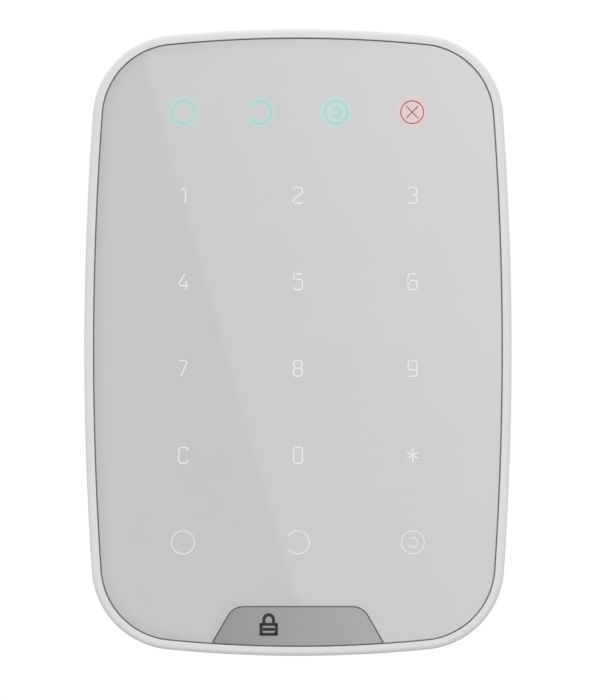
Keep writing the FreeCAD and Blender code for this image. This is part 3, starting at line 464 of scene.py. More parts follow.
def panel_finish(name):
    """Grey back-painted touch panel, with a painted glow of the three turquoise lights and the red one round
    their symbols, and a painted shade along its edge, strongest at the left and gone at the right.
    """
    sizes = bpy.context.scene.keypad_sizes
    base = keypad_colour("panel")
    made = Recipe(name, base, 0.06, IOR=1.5)
    smear = made.noise(16 * MM, 4.0, 0.6)
    tone = made.blend(made.range(smear, 0.3, 0.7), shade(base, 0.993), shade(base, 1.007))
    x, z = made.axis("X"), made.axis("Z")
    up = made.math("SUBTRACT", z, STATUS_ROW)
    up_squared = made.math("MULTIPLY", up, up)
    # painted glow: round each status symbol the panel's colour turns turquoise, or red for the fourth,
    # standing in for light from the lamps behind
    for index in range(4):
        across = made.math("SUBTRACT", x, STATUS_PITCH * (index - 1.5))
        gap = made.math("SQRT", made.math("ADD", made.math("MULTIPLY", across, across), up_squared))
        from_ring = made.math("ABSOLUTE", made.math("SUBTRACT", gap, sizes.ring_radius))
        strength, tint = (1.0, (0.445, 0.62, 0.60)) if index < 3 else (0.55, (0.80, 0.47, 0.47))
        glow = made.range(from_ring, 0.22 * MM, 1.6 * MM, strength, 0.0)
        if index == 1:
            # this ring is open on its left
            leftwards = made.math("DIVIDE", across, made.math("MAXIMUM", gap, 0.1 * MM))
            glow = made.math("MULTIPLY", glow, made.range(leftwards, -0.90, -0.76))
        if index >= 2:
            # these two symbols also have strokes inside their ring, so the painted glow also fills the ring
            inside = made.range(gap, sizes.ring_radius, sizes.ring_radius + 0.1 * MM, 1.0, 0.0)
            fill = made.range(gap, 0.0, 1.0 * MM, strength * 0.3, strength * 0.9)
            glow = made.math("MAXIMUM", glow, made.math("MULTIPLY", inside, fill))
        tone = made.blend(glow, tone, tint)
    # painted shade along the panel's edge: darker towards the edge, most at the left, fading out towards the
    # right
    painted_edge_shade = made.node("ShaderNodeAttribute", attribute_name="painted_edge_shade").outputs["Fac"]
    painted_edge_shade = made.math("MULTIPLY", painted_edge_shade, made.range(x, -sizes.half_width, sizes.half_width, 0.75, 0.0))
    made.set("Base Color", made.blend(painted_edge_shade, tone, shade(base, 0.86)))
    made.set("Roughness", made.range(smear, 0.3, 0.7, 0.02, 0.045))
    made.bump(made.noise(30 * MM, 1.0), 0.003 * MM, 0.3)
    return made


def badge_finish(name):
    """Semi-gloss badge with a metallic flake, its colour painted lighter towards the right as a painted sheen
    from that side.
    """
    base = keypad_colour("badge")
    made = Recipe(name, base, 0.28, metallic=0.25)
    # painted sheen: the badge's colour runs from darker at the left to lighter at the right, as light from
    # the right would make it
    slope = made.range(made.axis("X"), -18 * MM, 16 * MM)
    flake = made.range(made.noise(0.12 * MM, 2.0, 0.7), 0.3, 0.7)
    tone = made.blend(slope, shade(base, 0.95), shade(base, 1.22))
    made.set("Base Color", made.blend(made.math("MULTIPLY", flake, 0.12), tone, shade(base, 1.6)))
    made.set("Roughness", made.range(flake, 0.0, 1.0, 0.24, 0.34))
    made.bump(flake, 0.001 * MM)
    return made


def print_finish(name, base, glow=0.0):
    """Screen-printed ink, a little uneven, and lit from behind where it glows."""
    made = Recipe(name, base, 0.5)
    speckle = made.noise(0.07 * MM, 3.0, 0.6)
    made.set("Base Color", made.blend(made.range(speckle, 0.3, 0.7), shade(base, 0.95), shade(base, 1.03)))
    made.bump(speckle, 0.002 * MM)
    if glow:
        made.set("Emission Color", (*base, 1))
        made.set("Emission Strength", glow)
    return made


def board_finish(name):
    """Green solder mask over copper tracks, with tinned vias."""
    mask, track, tin = (0.012, 0.10, 0.045), (0.03, 0.17, 0.07), (0.62, 0.62, 0.58)
    made = Recipe(name, mask, 0.3)
    flat = made.scaled((1, 1, 0.55), turn=(0, math.radians(45), 0))
    lines = made.cells(2.6 * MM, "DISTANCE_TO_EDGE", place=flat)
    tracks = made.range(lines, 0.05, 0.09, 1.0, 0.0)
    vias = made.range(made.cells(5.2 * MM), 0.07, 0.09, 1.0, 0.0)
    made.set("Base Color", made.blend(vias, made.blend(tracks, mask, track), tin))
    made.set("Metallic", vias)
    made.bump(tracks, 0.02 * MM)
    return made


def cell_finish(name):
    """Shrink-wrapped AAA cell: dark sleeve, copper-coloured shoulder and bare steel ends."""
    low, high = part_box("battery_left_1")
    made = Recipe(name, (0.03, 0.035, 0.045), 0.22)
    length_up = made.math("DIVIDE", made.math("SUBTRACT", made.axis("Z"), low.z), high.z - low.z)
    place = made.math("FRACT", length_up)
    shoulder = made.range(place, 0.70, 0.703)
    steel = made.math("MAXIMUM", made.range(place, 0.955, 0.958), made.range(place, 0.014, 0.017, 1.0, 0.0))
    seam = made.noise(1.5 * MM, 3.0)
    sleeve = made.blend(made.range(seam, 0.3, 0.7), (0.026, 0.03, 0.04), (0.036, 0.042, 0.052))
    wrapped = made.blend(shoulder, sleeve, (0.55, 0.27, 0.10))
    made.set("Base Color", made.blend(steel, wrapped, (0.62, 0.61, 0.58)))
    made.set("Metallic", made.math("MAXIMUM", steel, shoulder))
    made.bump(seam, 0.01 * MM, 0.4)
    return made


def foam_finish(name, base):
    """Closed-cell foam tape."""
    made = Recipe(name, base, 0.9)
    pores = made.cells(0.35 * MM)
    made.set("Base Color", made.blend(made.range(pores, 0.1, 0.6), shade(base, 0.5), shade(base, 1.6)))
    made.bump(pores, 0.08 * MM)
    return made


def keypad_colour(name):
    return tuple(getattr(bpy.context.scene.keypad_colours, name))


FINISHES = {
    "casing_white": lambda n: moulded(
        n, keypad_colour("casing"), 0.42, grain=0.12 * MM, depth=0.003 * MM, variation=0.008
    ),
    "bracket_white": lambda n: moulded(
        n, keypad_colour("bracket"), 0.55, grain=0.2 * MM, depth=0.01 * MM, variation=0.015
    ),
    "panel_grey": panel_finish,
    "badge_grey": badge_finish,
    "adhesive_black": lambda n: foam_finish(n, (0.03, 0.03, 0.03)),
    "legend_print": lambda n: moulded(n, (0.50, 0.51, 0.52), 0.5, grain=0.3 * MM, depth=0.002 * MM),
    "touch_clear": lambda n: clear_gloss(n, (0.62, 0.48, 0.24), 0.15),
    "electrode_metal": lambda n: brushed(n, (0.75, 0.72, 0.68), 0.4),
    "board_green": board_finish,
    "chip_black": lambda n: moulded(
        n, (0.02, 0.02, 0.022), 0.6, grain=0.1 * MM, depth=0.008 * MM, variation=0.2
    ),
    "can_steel": lambda n: brushed(n, (0.62, 0.62, 0.60), 0.35),
    "led_body": lambda n: clear_gloss(n, (0.86, 0.82, 0.50), 0.2),
    "baffle_white": lambda n: moulded(n, (0.86, 0.86, 0.85), 0.6, grain=0.25 * MM, depth=0.008 * MM),
    "diffuser_milk": lambda n: clear_gloss(n, (0.88, 0.89, 0.89), 0.4),
    "connector_ivory": lambda n: moulded(n, (0.78, 0.74, 0.60), 0.5),
    "capacitor_ceramic": lambda n: moulded(n, (0.36, 0.24, 0.13), 0.4, grain=0.08 * MM, variation=0.1),
    "capacitor_can": lambda n: brushed(n, (0.78, 0.79, 0.80), 0.25),
    "antenna_metal": lambda n: brushed(n, (0.72, 0.72, 0.70), 0.3, along=(0.04, 1, 1)),
    "sounder_black": lambda n: moulded(n, (0.025, 0.025, 0.027), 0.45, variation=0.15),
    "sounder_brass": lambda n: brushed(n, (0.78, 0.60, 0.28), 0.3),
    "tray_black": lambda n: moulded(n, (0.035, 0.035, 0.038), 0.5, variation=0.12),
    "cell_wrap": cell_finish,
    "contact_nickel": lambda n: brushed(n, (0.74, 0.72, 0.68), 0.2),
    "spring_steel": lambda n: brushed(n, (0.66, 0.66, 0.66), 0.22),
    "screw_zinc": lambda n: brushed(n, (0.66, 0.66, 0.64), 0.3, along=(1, 1, 1)),
    "button_grey": lambda n: moulded(n, (0.50, 0.51, 0.52), 0.45, variation=0.03),
    "switch_black": lambda n: moulded(n, (0.03, 0.03, 0.033), 0.5, variation=0.12),
    "label_silver": lambda n: brushed(n, (0.72, 0.72, 0.71), 0.45, along=(0.03, 1, 1)),
    "legend_ink": lambda n: print_finish(n, keypad_colour("legend")),
    "ready_light": lambda n: print_finish(n, keypad_colour("armed_light"), 0.05),
    "fault_light": lambda n: print_finish(n, keypad_colour("fault_light"), 0.05),
    "badge_ink": lambda n: print_finish(n, keypad_colour("mark")),
}
made_finishes = {}


def finish(name):
    """The material of this name, made the first time that it is asked for."""
    if name not in made_finishes:
        made_finishes[name] = FINISHES[name](name).material
    return made_finishes[name]


# ---- geometry node trees ----

class Tree:
    """A geometry tree under construction, with named number inputs and a material called Finish."""

    def __init__(self, name, numbers):
        self.group = bpy.data.node_groups.new(name, "GeometryNodeTree")
        self.sockets = {}
        face = self.group.interface
        face.new_socket("Geometry", in_out="INPUT", socket_type="NodeSocketGeometry")
        for label in (*numbers, "Finish"):
            kind = "NodeSocketMaterial" if label == "Finish" else "NodeSocketFloat"
            self.sockets[label] = face.new_socket(label, in_out="INPUT", socket_type=kind).identifier
        face.new_socket("Geometry", in_out="OUTPUT", socket_type="NodeSocketGeometry")
        self.start = self.node("NodeGroupInput")

    def node(self, kind, inputs=None, **settings):
        made = self.group.nodes.new(kind)
        for key, value in settings.items():
            setattr(made, key, value)
        for socket, value in (inputs or {}).items():
            if isinstance(value, bpy.types.NodeSocket):
                self.group.links.new(value, made.inputs[socket])
            else:
                made.inputs[socket].default_value = value
        return made

    def given(self, label):
        return self.start.outputs[label]

    def finish(self, geometry):
        """Ends the tree: real geometry, with its material."""
        whole = self.node("GeometryNodeRealizeInstances", {0: geometry})
        painted = self.node("GeometryNodeSetMaterial", {"Geometry": whole.outputs[0]})
        self.group.links.new(self.given("Finish"), painted.inputs["Material"])
        end = self.node("NodeGroupOutput")
        self.group.links.new(painted.outputs[0], end.inputs[0])
        return self

    def run(self, thing, values):
        """The plain mesh that the tree makes of an object, which is then removed."""
        modifier = thing.modifiers.new("recipe", "NODES")
        modifier.node_group = self.group
        for label, value in values.items():
            modifier[self.sockets[label]] = value
        bpy.context.view_layer.update()
        data = evaluated_mesh(thing)
        thing.modifiers.remove(modifier)
        bpy.data.objects.remove(thing)
        return data


def stroke_tree():
    """Turns centre lines into flat printed strokes. A point's radius is the rounding of its corner."""
    tree = Tree("printed_strokes", ("Stroke width", "Print thickness"))
    rounding = tree.node("GeometryNodeInputRadius")
    inputs = {
        "Curve": tree.given("Geometry"), "Radius": rounding.outputs[0], "Limit Radius": True, "Count": 7,
    }
    filleted = tree.node("GeometryNodeFilletCurve", inputs, mode="POLY")
    even = tree.node("GeometryNodeSetCurveRadius", {"Curve": filleted.outputs[0], "Radius": 1.0})
    section = tree.node("GeometryNodeCurvePrimitiveQuadrilateral", {
        "Width": tree.given("Stroke width"), "Height": tree.given("Print thickness"),
    })
    swept = tree.node("GeometryNodeCurveToMesh", {
        "Curve": even.outputs[0], "Profile Curve": section.outputs[0], "Fill Caps": True,
    })
    return tree.finish(swept.outputs[0])


def coil_tree():
    """A round-wire coil that stands on the origin along +Z."""
    tree = Tree("wire_coil", ("Turns", "Foot radius", "Top radius", "Length", "Wire radius"))
    spiral = tree.node("GeometryNodeCurveSpiral", {
        "Resolution": 36, "Rotations": tree.given("Turns"), "Start Radius": tree.given("Foot radius"),
        "End Radius": tree.given("Top radius"), "Height": tree.given("Length"),
    })
    section = tree.node("GeometryNodeCurvePrimitiveCircle", {
        "Resolution": 12, "Radius": tree.given("Wire radius"),
    })
    swept = tree.node("GeometryNodeCurveToMesh", {
        "Curve": spiral.outputs[0], "Profile Curve": section.outputs[0], "Fill Caps": True,
    })
    return tree.finish(swept.outputs[0])


def screw_tree():
    """Pan-head screws with a cross recess and a cut thread, one on each point, with the shank along +Z."""
    numbers = ("Head radius", "Head height", "Shank radius", "Shank length", "Turns")
    tree = Tree("cross_recess_screws", numbers)

    def raised(geometry, z):
        place = tree.node("ShaderNodeCombineXYZ", {2: z})
        inputs = {"Geometry": geometry, "Translation": place.outputs[0]}
        return tree.node("GeometryNodeTransform", inputs).outputs[0]

    def product(first, second):
        return tree.node("ShaderNodeMath", {0: first, 1: second}, operation="MULTIPLY").outputs[0]

    def total(first, second):
        return tree.node("ShaderNodeMath", {0: first, 1: second}, operation="ADD").outputs[0]

    # shares of the head's height, of its radius, and of the shank's radius and length
    rim_share, dome_share, slot_depth = 0.62, 0.38, 1.1
    crown_share, slot_length, slot_width = 0.72, 1.25, 0.24
    core_share, ridge_share, thread_share, thread_start = 0.8, 0.2, 0.9, 0.05
    radius, height = tree.given("Head radius"), tree.given("Head height")
    body = tree.node("GeometryNodeMeshCylinder", {
        "Vertices": 40, "Radius": radius, "Depth": product(height, rim_share),
    })
    dome = tree.node("GeometryNodeMeshCone", {
        "Vertices": 40, "Radius Top": product(radius, crown_share), "Radius Bottom": radius,
        "Depth": product(height, dome_share),
    })
    flipped = tree.node("GeometryNodeTransform", {"Geometry": dome.outputs[0], "Rotation": (math.pi, 0, 0)})
    head = tree.node("GeometryNodeMeshBoolean", operation="UNION")
    rim_middle = product(height, dome_share + rim_share / 2)
    tree.group.links.new(raised(body.outputs[0], rim_middle), head.inputs["Mesh 2"])
    tree.group.links.new(raised(flipped.outputs[0], product(height, dome_share)), head.inputs["Mesh 2"])
    slots = tree.node("GeometryNodeJoinGeometry")
    for across, along in ((slot_length, slot_width), (slot_width, slot_length)):
        size = tree.node("ShaderNodeCombineXYZ", {
            0: product(radius, across), 1: product(radius, along), 2: product(height, slot_depth),
        })
        cube = tree.node("GeometryNodeMeshCube", {"Size": size.outputs[0]})
        tree.group.links.new(cube.outputs[0], slots.inputs[0])
    cut = tree.node("GeometryNodeMeshBoolean", operation="DIFFERENCE")
    tree.group.links.new(head.outputs[0], cut.inputs["Mesh 1"])
    tree.group.links.new(slots.outputs[0], cut.inputs["Mesh 2"])
    shank_length = tree.given("Shank length")
    core = product(tree.given("Shank radius"), core_share)
    shank = tree.node("GeometryNodeMeshCylinder", {"Vertices": 24, "Radius": core, "Depth": shank_length})
    shank_middle = total(height, product(shank_length, 0.5))
    spiral = tree.node("GeometryNodeCurveSpiral", {
        "Resolution": 24, "Height": product(shank_length, thread_share), "Rotations": tree.given("Turns"),
        "Start Radius": core, "End Radius": core,
    })
    ridge = tree.node("GeometryNodeCurvePrimitiveCircle", {
        "Resolution": 4, "Radius": product(tree.given("Shank radius"), ridge_share),
    })
    thread = tree.node("GeometryNodeCurveToMesh", {
        "Curve": spiral.outputs[0], "Profile Curve": ridge.outputs[0], "Fill Caps": True,
    })
    thread_foot = total(height, product(shank_length, thread_start))
    whole = tree.node("GeometryNodeJoinGeometry")
    parts = (cut.outputs[0], raised(shank.outputs[0], shank_middle), raised(thread.outputs[0], thread_foot))
    for part in parts:
        tree.group.links.new(part, whole.inputs[0])
    placed = tree.node("GeometryNodeInstanceOnPoints", {
        "Points": tree.given("Geometry"), "Instance": whole.outputs[0],
    })
    return tree.finish(placed.outputs[0])


def points_object(places):
    data = bpy.data.meshes.new("places")
    data.from_pydata([tuple(p) for p in places], [], [])
    thing = bpy.data.objects.new("places", data)
    bpy.context.scene.collection.objects.link(thing)
    return thing


def strokes_object(strokes):
    """A curve object with one poly spline for each stroke: its points, and whether it closes."""
    data = bpy.data.curves.new("centre_lines", "CURVE")
    data.dimensions = "3D"
    data.twist_mode = "Z_UP"
    for index, (points, closed) in enumerate(strokes):
        spline = data.splines.new("POLY")
        spline.points.add(len(points) - 1)
        spline.use_cyclic_u = closed
        # strokes lie at three heights in turn, a hair apart, so that crossings stay clean
        lift_up = index % 3 * 0.004 * MM
        for point, (x, y, rounding) in zip(spline.points, points):
            point.co = (x, y, lift_up, 1)
            point.radius = rounding
    thing = bpy.data.objects.new("centre_lines", data)
    bpy.context.scene.collection.objects.link(thing)
    return thing


def stand_up(data, depth):
    """Turns a mesh that was drawn lying down to face the user, at this depth from the wall."""
    data.transform(Matrix.Translation((0, -depth, 0)) @ Matrix.Rotation(math.pi / 2, 4, "X"))
    return data


# ---- glyphs: strokes on a grid from -1 to 1 both ways, where True marks a round corner ----

DIGITS = {
    "1": [([(-0.6, 0.64), (0.45, 1), (0.45, -1)], False)],
    "2": [
        ([
            (-1, 0.64), (-1, 1, True), (1, 1, True), (1, 0.25, True), (-1, -0.46, True), (-1, -1), (1.05, -1),
        ], False),
    ],
    "3": [
        ([(-1, 0.68), (-1, 1, True), (1, 1, True), (1, 0.02, True), (-0.1, 0.02)], False),
        ([(-0.1, 0.02), (1, 0.02, True), (1, -1, True), (-1, -1, True), (-1, -0.68)], False),
    ],
    "4": [([(0.3, 1), (-1.2, -0.48), (1.22, -0.48)], False), ([(0.62, 0.12), (0.62, -1)], False)],
    "5": [
        ([
            (1, 1), (-0.92, 1), (-0.92, 0.12), (-0.5, 0.32), (1, 0.32, True), (1, -1, True), (-1, -1, True),
            (-1, -0.7),
        ], False),
    ],
    "6": [([(0.8, 1), (-1, 1, True), (-1, -1, True), (1, -1, True), (1, 0.18, True), (-1, 0.18)], False)],
    "7": [([(-0.95, 1), (0.95, 1), (-0.5, -1)], False)],
    "8": [
        ([(-0.88, 1, True), (0.88, 1, True), (0.88, 0.03, True), (-0.88, 0.03, True)], True),
        ([(-1, 0.03, True), (1, 0.03, True), (1, -1, True), (-1, -1, True)], True),
    ],
    "9": [([(-0.8, -1), (1, -1, True), (1, 1, True), (-1, 1, True), (-1, -0.18, True), (1, -0.18)], False)],
    "0": [([(-1, 1, True), (1, 1, True), (1, -1, True), (-1, -1, True)], True)],
    "C": [
        ([
            (1.12, 0.6), (0.95, 1, True), (-1, 1, True), (-1, -1, True), (0.95, -1, True), (1.12, -0.6),
        ], False),
    ],
}
KEY_ROWS = ("123", "456", "789", "C0*")
SHARP = 0.02 * MM


def digit_strokes(sizes, digit, x, z):
    strokes = []
    for points, closed in DIGITS[digit]:
        placed = []
        for across, up, *rounded in points:
            radius = sizes.digit_round if rounded else SHARP
            placed.append((x + across * sizes.digit_half_width, z + up * sizes.digit_half_height, radius))
        strokes.append((placed, closed))
    return strokes


def star_strokes(x, z, radius):
    """Three crossing lines, of which the upright one is the longest."""
    strokes = []
    for turn, share in enumerate((1.0, 0.88, 0.88)):
        angle = math.pi / 2 + turn * math.pi / 3
        across, up = radius * share * math.cos(angle), radius * share * math.sin(angle)
        strokes.append(([(x - across, z - up, SHARP), (x + across, z + up, SHARP)], False))
    return strokes


def ring_stroke(x, z, radius, gap=0.0, towards=math.pi, steps=64):
    """A ring, or a ring that is open by this angle towards one side."""
    closed = gap == 0
    span = 2 * math.pi - gap
    count = steps if closed else steps + 1
    points = []
    for n in range(count):
        angle = towards + gap / 2 + span * n / steps
        points.append((x + radius * math.cos(angle), z + radius * math.sin(angle), 0.0))
    return (points, closed)


def mode_symbol(sizes, kind, x, z):
    """Full ring: all on. Open ring: off. Ring in a ring: part on."""
    if kind == "ring":
        return [ring_stroke(x, z, sizes.ring_radius)]
    if kind == "open_ring":
        return [ring_stroke(x, z, sizes.ring_radius, gap=math.radians(72))]
    inner = ring_stroke(x, z, sizes.inner_ring_radius, gap=math.radians(80))
    return [ring_stroke(x, z, sizes.ring_radius), inner]


def print_piece(name, strokes, width, finish_name, depth, slot):
    """A printed legend on the panel or the badge."""
    sizes = bpy.context.scene.keypad_sizes
    tree = stroke_tree()
    values = {"Stroke width": width, "Print thickness": sizes.print_thickness, "Finish": finish(finish_name)}
    data = tree.run(strokes_object(strokes), values)
    stand_up(data, depth + sizes.print_thickness / 2)
    return settle(place_piece(name, data, finish_name, 40), "housing", slot)


# ---- operators: one for each piece or group of like pieces ----

class KEYPAD_OT_front_frame(bpy.types.Operator):
    """Sweeps the white frame's section round the casing, with its screw bosses and board posts"""

    bl_idname = "keypad.front_frame"
    bl_label = "Front frame"

    def execute(self, context):
        sizes = context.scene.keypad_sizes
        front = -FRAME_LOW.y
        split = -FRAME_HIGH.y
        # the ledge that carries the panel, as depths from the wall
        ledge_front, ledge_back = -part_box("panel_adhesive")[1].y, 11.2 * MM
        # insets from the casing's edge: its wall, its ledge's opening, and its drafted and eased back edge
        cavity, opening, draft, ease = 2.3 * MM, 5.0 * MM, 0.5 * MM, 0.12 * MM
        widest = 12.4 * MM
        section = [(draft + ease, split), (draft, split + ease), (0, widest)]
        turn, hub = sizes.rim_round, front - sizes.rim_round
        section += [(turn - turn * math.cos(a), hub + turn * math.sin(a)) for a in quarter(10)]
        lip, hub = sizes.lip_round, front - sizes.lip_round
        section += [(sizes.rim_width - lip + lip * math.sin(a), hub + lip * math.cos(a)) for a in quarter(5)]
        section += [(sizes.rim_width, ledge_front), (opening, ledge_front), (opening, ledge_back)]
        section += [(cavity, ledge_back), (cavity, split)]
        mesh = bmesh.new()
        add_loft(mesh, [lift(casing_outline(sizes, inset), depth) for inset, depth in section], closed=True)
        tube_front = 12.0 * MM
        boss_x, boss_z = 40.4 * MM, 63.6 * MM
        boss_radius, boss_bore, boss_bore_front = 2.75 * MM, 0.92 * MM, 11.0 * MM
        for x in (-boss_x, boss_x):
            for z in (-boss_z, boss_z):
                self.add_tube(mesh, x, z, split, tube_front, boss_radius, boss_bore, boss_bore_front)
        board_front = -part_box("main_board")[0].y
        post_x, post_rows = 45.4 * MM, (18 * MM, -26 * MM)
        post_radius, post_bore, post_bore_front = 2.4 * MM, 0.72 * MM, 11.8 * MM
        for x in (-post_x, post_x):
            for z in post_rows:
                self.add_tube(mesh, x, z, board_front, tube_front, post_radius, post_bore, post_bore_front)
        piece = new_piece("front_frame_moulding", mesh, "casing_white")
        weigh_normals(piece)
        settle(piece, "housing", "casing_white", "front_frame")
        return {"FINISHED"}

    @staticmethod
    def add_tube(mesh, x, z, back, front, radius, bore, bore_front):
        """A blind-bored post that opens towards the wall."""
        hub, ease = 0.02 * MM, 0.15 * MM
        rings = [(hub, bore_front), (bore, bore_front), (bore, back), (radius - ease, back)]
        rings += [(radius, back + ease), (radius, front), (hub, front)]
        add_loft(mesh, [lift(circle(x, z, r), depth) for r, depth in rings], closed=True)


class KEYPAD_OT_touch_panel(bpy.types.Operator):
    """Builds the glossy grey panel with its rounded edge and the badge's cut-out"""

    bl_idname = "keypad.touch_panel"
    bl_label = "Touch panel"

    def execute(self, context):
        sizes = context.scene.keypad_sizes
        edge = sizes.panel_round
        inset = sizes.rim_width + sizes.panel_gap
        steps = rounded_steps(-PANEL_HIGH.y, PANEL_FRONT, edge, 6)
        # an inner ring on the face, inside which the painted shade along the edge is gone
        steps.append((edge + sizes.painted_shade_width, PANEL_FRONT))
        rings = []
        for shrink, depth in steps:
            outline = panel_outline(sizes, inset + shrink, -shrink, sizes.badge_corner + shrink)
            rings.append(lift(outline, depth))
        mesh = bmesh.new()
        add_loft(mesh, rings)
        piece = new_piece("touch_panel_plate", mesh, "panel_grey")
        # painted shade along the edge: full on the edge's rings, none on the inner ring of the face
        painted_edge_shade = piece.data.attributes.new("painted_edge_shade", "FLOAT", "POINT")
        inner = len(piece.data.vertices) - len(rings[-1])
        painted_edge_shade.data.foreach_set("value", [1.0] * inner + [0.0] * len(rings[-1]))
        weigh_normals(piece)
        settle(piece, "housing", "panel_grey", "touch_panel")
        return {"FINISHED"}


class KEYPAD_OT_badge(bpy.types.Operator):
    """Builds the darker badge plate and its plain padlock mark"""

    bl_idname = "keypad.badge"
    bl_label = "Badge"

    def execute(self, context):
        sizes = context.scene.keypad_sizes
        front, edge = -BADGE_LOW.y, 0.15 * MM
        inset = sizes.rim_width + sizes.panel_gap
        rings = []
        for shrink, depth in rounded_steps(-BADGE_HIGH.y, front, edge, 5):
            gap = sizes.badge_gap + shrink
            rings.append(lift(badge_closed(sizes, inset + shrink, gap, sizes.badge_corner - gap), depth))
        mesh = bmesh.new()
        add_loft(mesh, rings)
        piece = new_piece("badge_plate_face", mesh, "badge_grey")
        weigh_normals(piece)
        settle(piece, "housing", "badge_grey", "badge_plate")
        self.add_mark(sizes, front)
        return {"FINISHED"}

    @staticmethod
    def add_mark(sizes, front):
        """A padlock: a body of two strokes and a shackle."""
        x, z = -7.0 * MM, -68.7 * MM
        half, drop, stroke = 1.85 * MM, 1.25 * MM, 0.75 * MM
        body_top, body_foot, body_middle = z + drop / 2, z - drop * 1.4, z - drop * 0.45
        body = [(x - half, body_top, SHARP), (x + half, body_top, SHARP)]
        body += [(x + half, body_foot, SHARP), (x - half, body_foot, SHARP)]
        middle = [(x - half, body_middle, SHARP), (x + half, body_middle, SHARP)]
        arm, arch = 1.15 * MM, body_top + 2.3 * MM
        shackle = [(x - arm, body_top, SHARP), (x - arm, arch, arm)]
        shackle += [(x + arm, arch, arm), (x + arm, body_top, SHARP)]
        strokes = [(body, True), (middle, False), (shackle, False)]
        print_piece("badge_padlock_mark", strokes, stroke, "badge_ink", front, "badge_grey")


class KEYPAD_OT_key_legends(bpy.types.Operator):
    """Prints the twelve key legends and the three arming symbols on the panel"""

    bl_idname = "keypad.key_legends"
    bl_label = "Key legends"

    def execute(self, context):
        sizes = context.scene.keypad_sizes
        strokes = []
        for row, line in enumerate(KEY_ROWS):
            z = TOP_KEY_ROW - KEY_PITCH_Z * row
            for column, legend in enumerate(line):
                x = KEY_PITCH_X * (column - 1)
                if legend == "*":
                    strokes += star_strokes(x, z, sizes.star_radius)
                else:
                    strokes += digit_strokes(sizes, legend, x, z)
        print_piece("key_digits", strokes, sizes.stroke_width, "legend_ink", PANEL_FRONT, "legend_print")
        symbols = []
        z = TOP_KEY_ROW - KEY_PITCH_Z * 4
        for column, kind in enumerate(("ring", "open_ring", "ring_in_ring")):
            symbols += mode_symbol(sizes, kind, KEY_PITCH_X * (column - 1), z)
        print_piece("arming_symbols", symbols, sizes.symbol_stroke, "legend_ink", PANEL_FRONT, "legend_print")
        return {"FINISHED"}


class KEYPAD_OT_status_lights(bpy.types.Operator):
    """Prints the three turquoise status symbols and the red crossed ring"""

    bl_idname = "keypad.status_lights"
    bl_label = "Status lights"

    def execute(self, context):
        sizes = context.scene.keypad_sizes
        symbols = []
        for column, kind in enumerate(("ring", "open_ring", "ring_in_ring")):
            symbols += mode_symbol(sizes, kind, STATUS_PITCH * (column - 1.5), STATUS_ROW)
        print_piece("ready_symbols", symbols, sizes.ring_stroke, "ready_light", PANEL_FRONT, "legend_print")
        x, reach = STATUS_PITCH * 1.5, 1.45 * MM
        cross = [ring_stroke(x, STATUS_ROW, sizes.ring_radius)]
        for side in (-1, 1):
            rise = reach * side
            line = [(x - reach, STATUS_ROW - rise, SHARP), (x + reach, STATUS_ROW + rise, SHARP)]
            cross.append((line, False))
        print_piece("fault_symbol", cross, sizes.symbol_stroke, "fault_light", PANEL_FRONT, "legend_print")
        return {"FINISHED"}


class KEYPAD_OT_mouldings(bpy.types.Operator):
    """Copies the rear shell, bracket, buttons and lock screw with merged corners and weighted normals"""

    bl_idname = "keypad.mouldings"
    bl_label = "Rear mouldings"

    def execute(self, context):
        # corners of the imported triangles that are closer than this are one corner
        same_place = 0.5e-6
        mouldings = (
            ("rear_shell", "housing", "casing_white"),
            ("wall_bracket", "bracket", "bracket_white"),
            ("tamper_button", "tamper_button", "button_grey"),
            ("power_button", "power_button", "button_grey"),
            ("lock_screw", "lock_screw", "screw_zinc"),
        )
        for node, body, slot in mouldings:
            mesh = bmesh.new()
            mesh.from_mesh(frame["nodes"][node].data)
            bmesh.ops.remove_doubles(mesh, verts=mesh.verts, dist=same_place)
            data = bpy.data.meshes.new(node)
            mesh.to_mesh(data)
            mesh.free()
            piece = place_piece(f"{node}_moulding", data, slot, 28)
            weigh_normals(piece)
            settle(piece, body, slot, node)
        return {"FINISHED"}


class KEYPAD_OT_screws(bpy.types.Operator):
    """Makes the threaded casing screws and board screws with cross recesses"""

    bl_idname = "keypad.screws"
    bl_label = "Screws"

    def execute(self, context):
        tree = screw_tree()
        # piece, node, head radius, head height, shank radius and turns of thread
        kinds = (
            ("casing_screws", "shell_screws", 2.0 * MM, 1.3 * MM, 0.9 * MM, 9.0),
            ("circuit_board_screws", "board_screws", 1.5 * MM, 0.9 * MM, 0.7 * MM, 5.0),
        )
        for name, node, head_radius, head_height, shank_radius, turns in kinds:
            low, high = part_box(node)
            xs = (low.x + head_radius, high.x - head_radius)
            zs = (low.z + head_radius, high.z - head_radius)
            # drawn lying down, so the shanks run along +Z and the plane's Y is the keypad's Z
            places = [(x, z, 0) for x in xs for z in zs]
            values = {
                "Head radius": head_radius, "Head height": head_height, "Shank radius": shank_radius,
                "Shank length": high.y - low.y - head_height, "Turns": turns, "Finish": finish("screw_zinc"),
            }
            data = tree.run(points_object(places), values)
            stand_up(data, -high.y)
            settle(place_piece(name, data, "screw_zinc", 30), "housing", "screw_zinc", node)
        return {"FINISHED"}


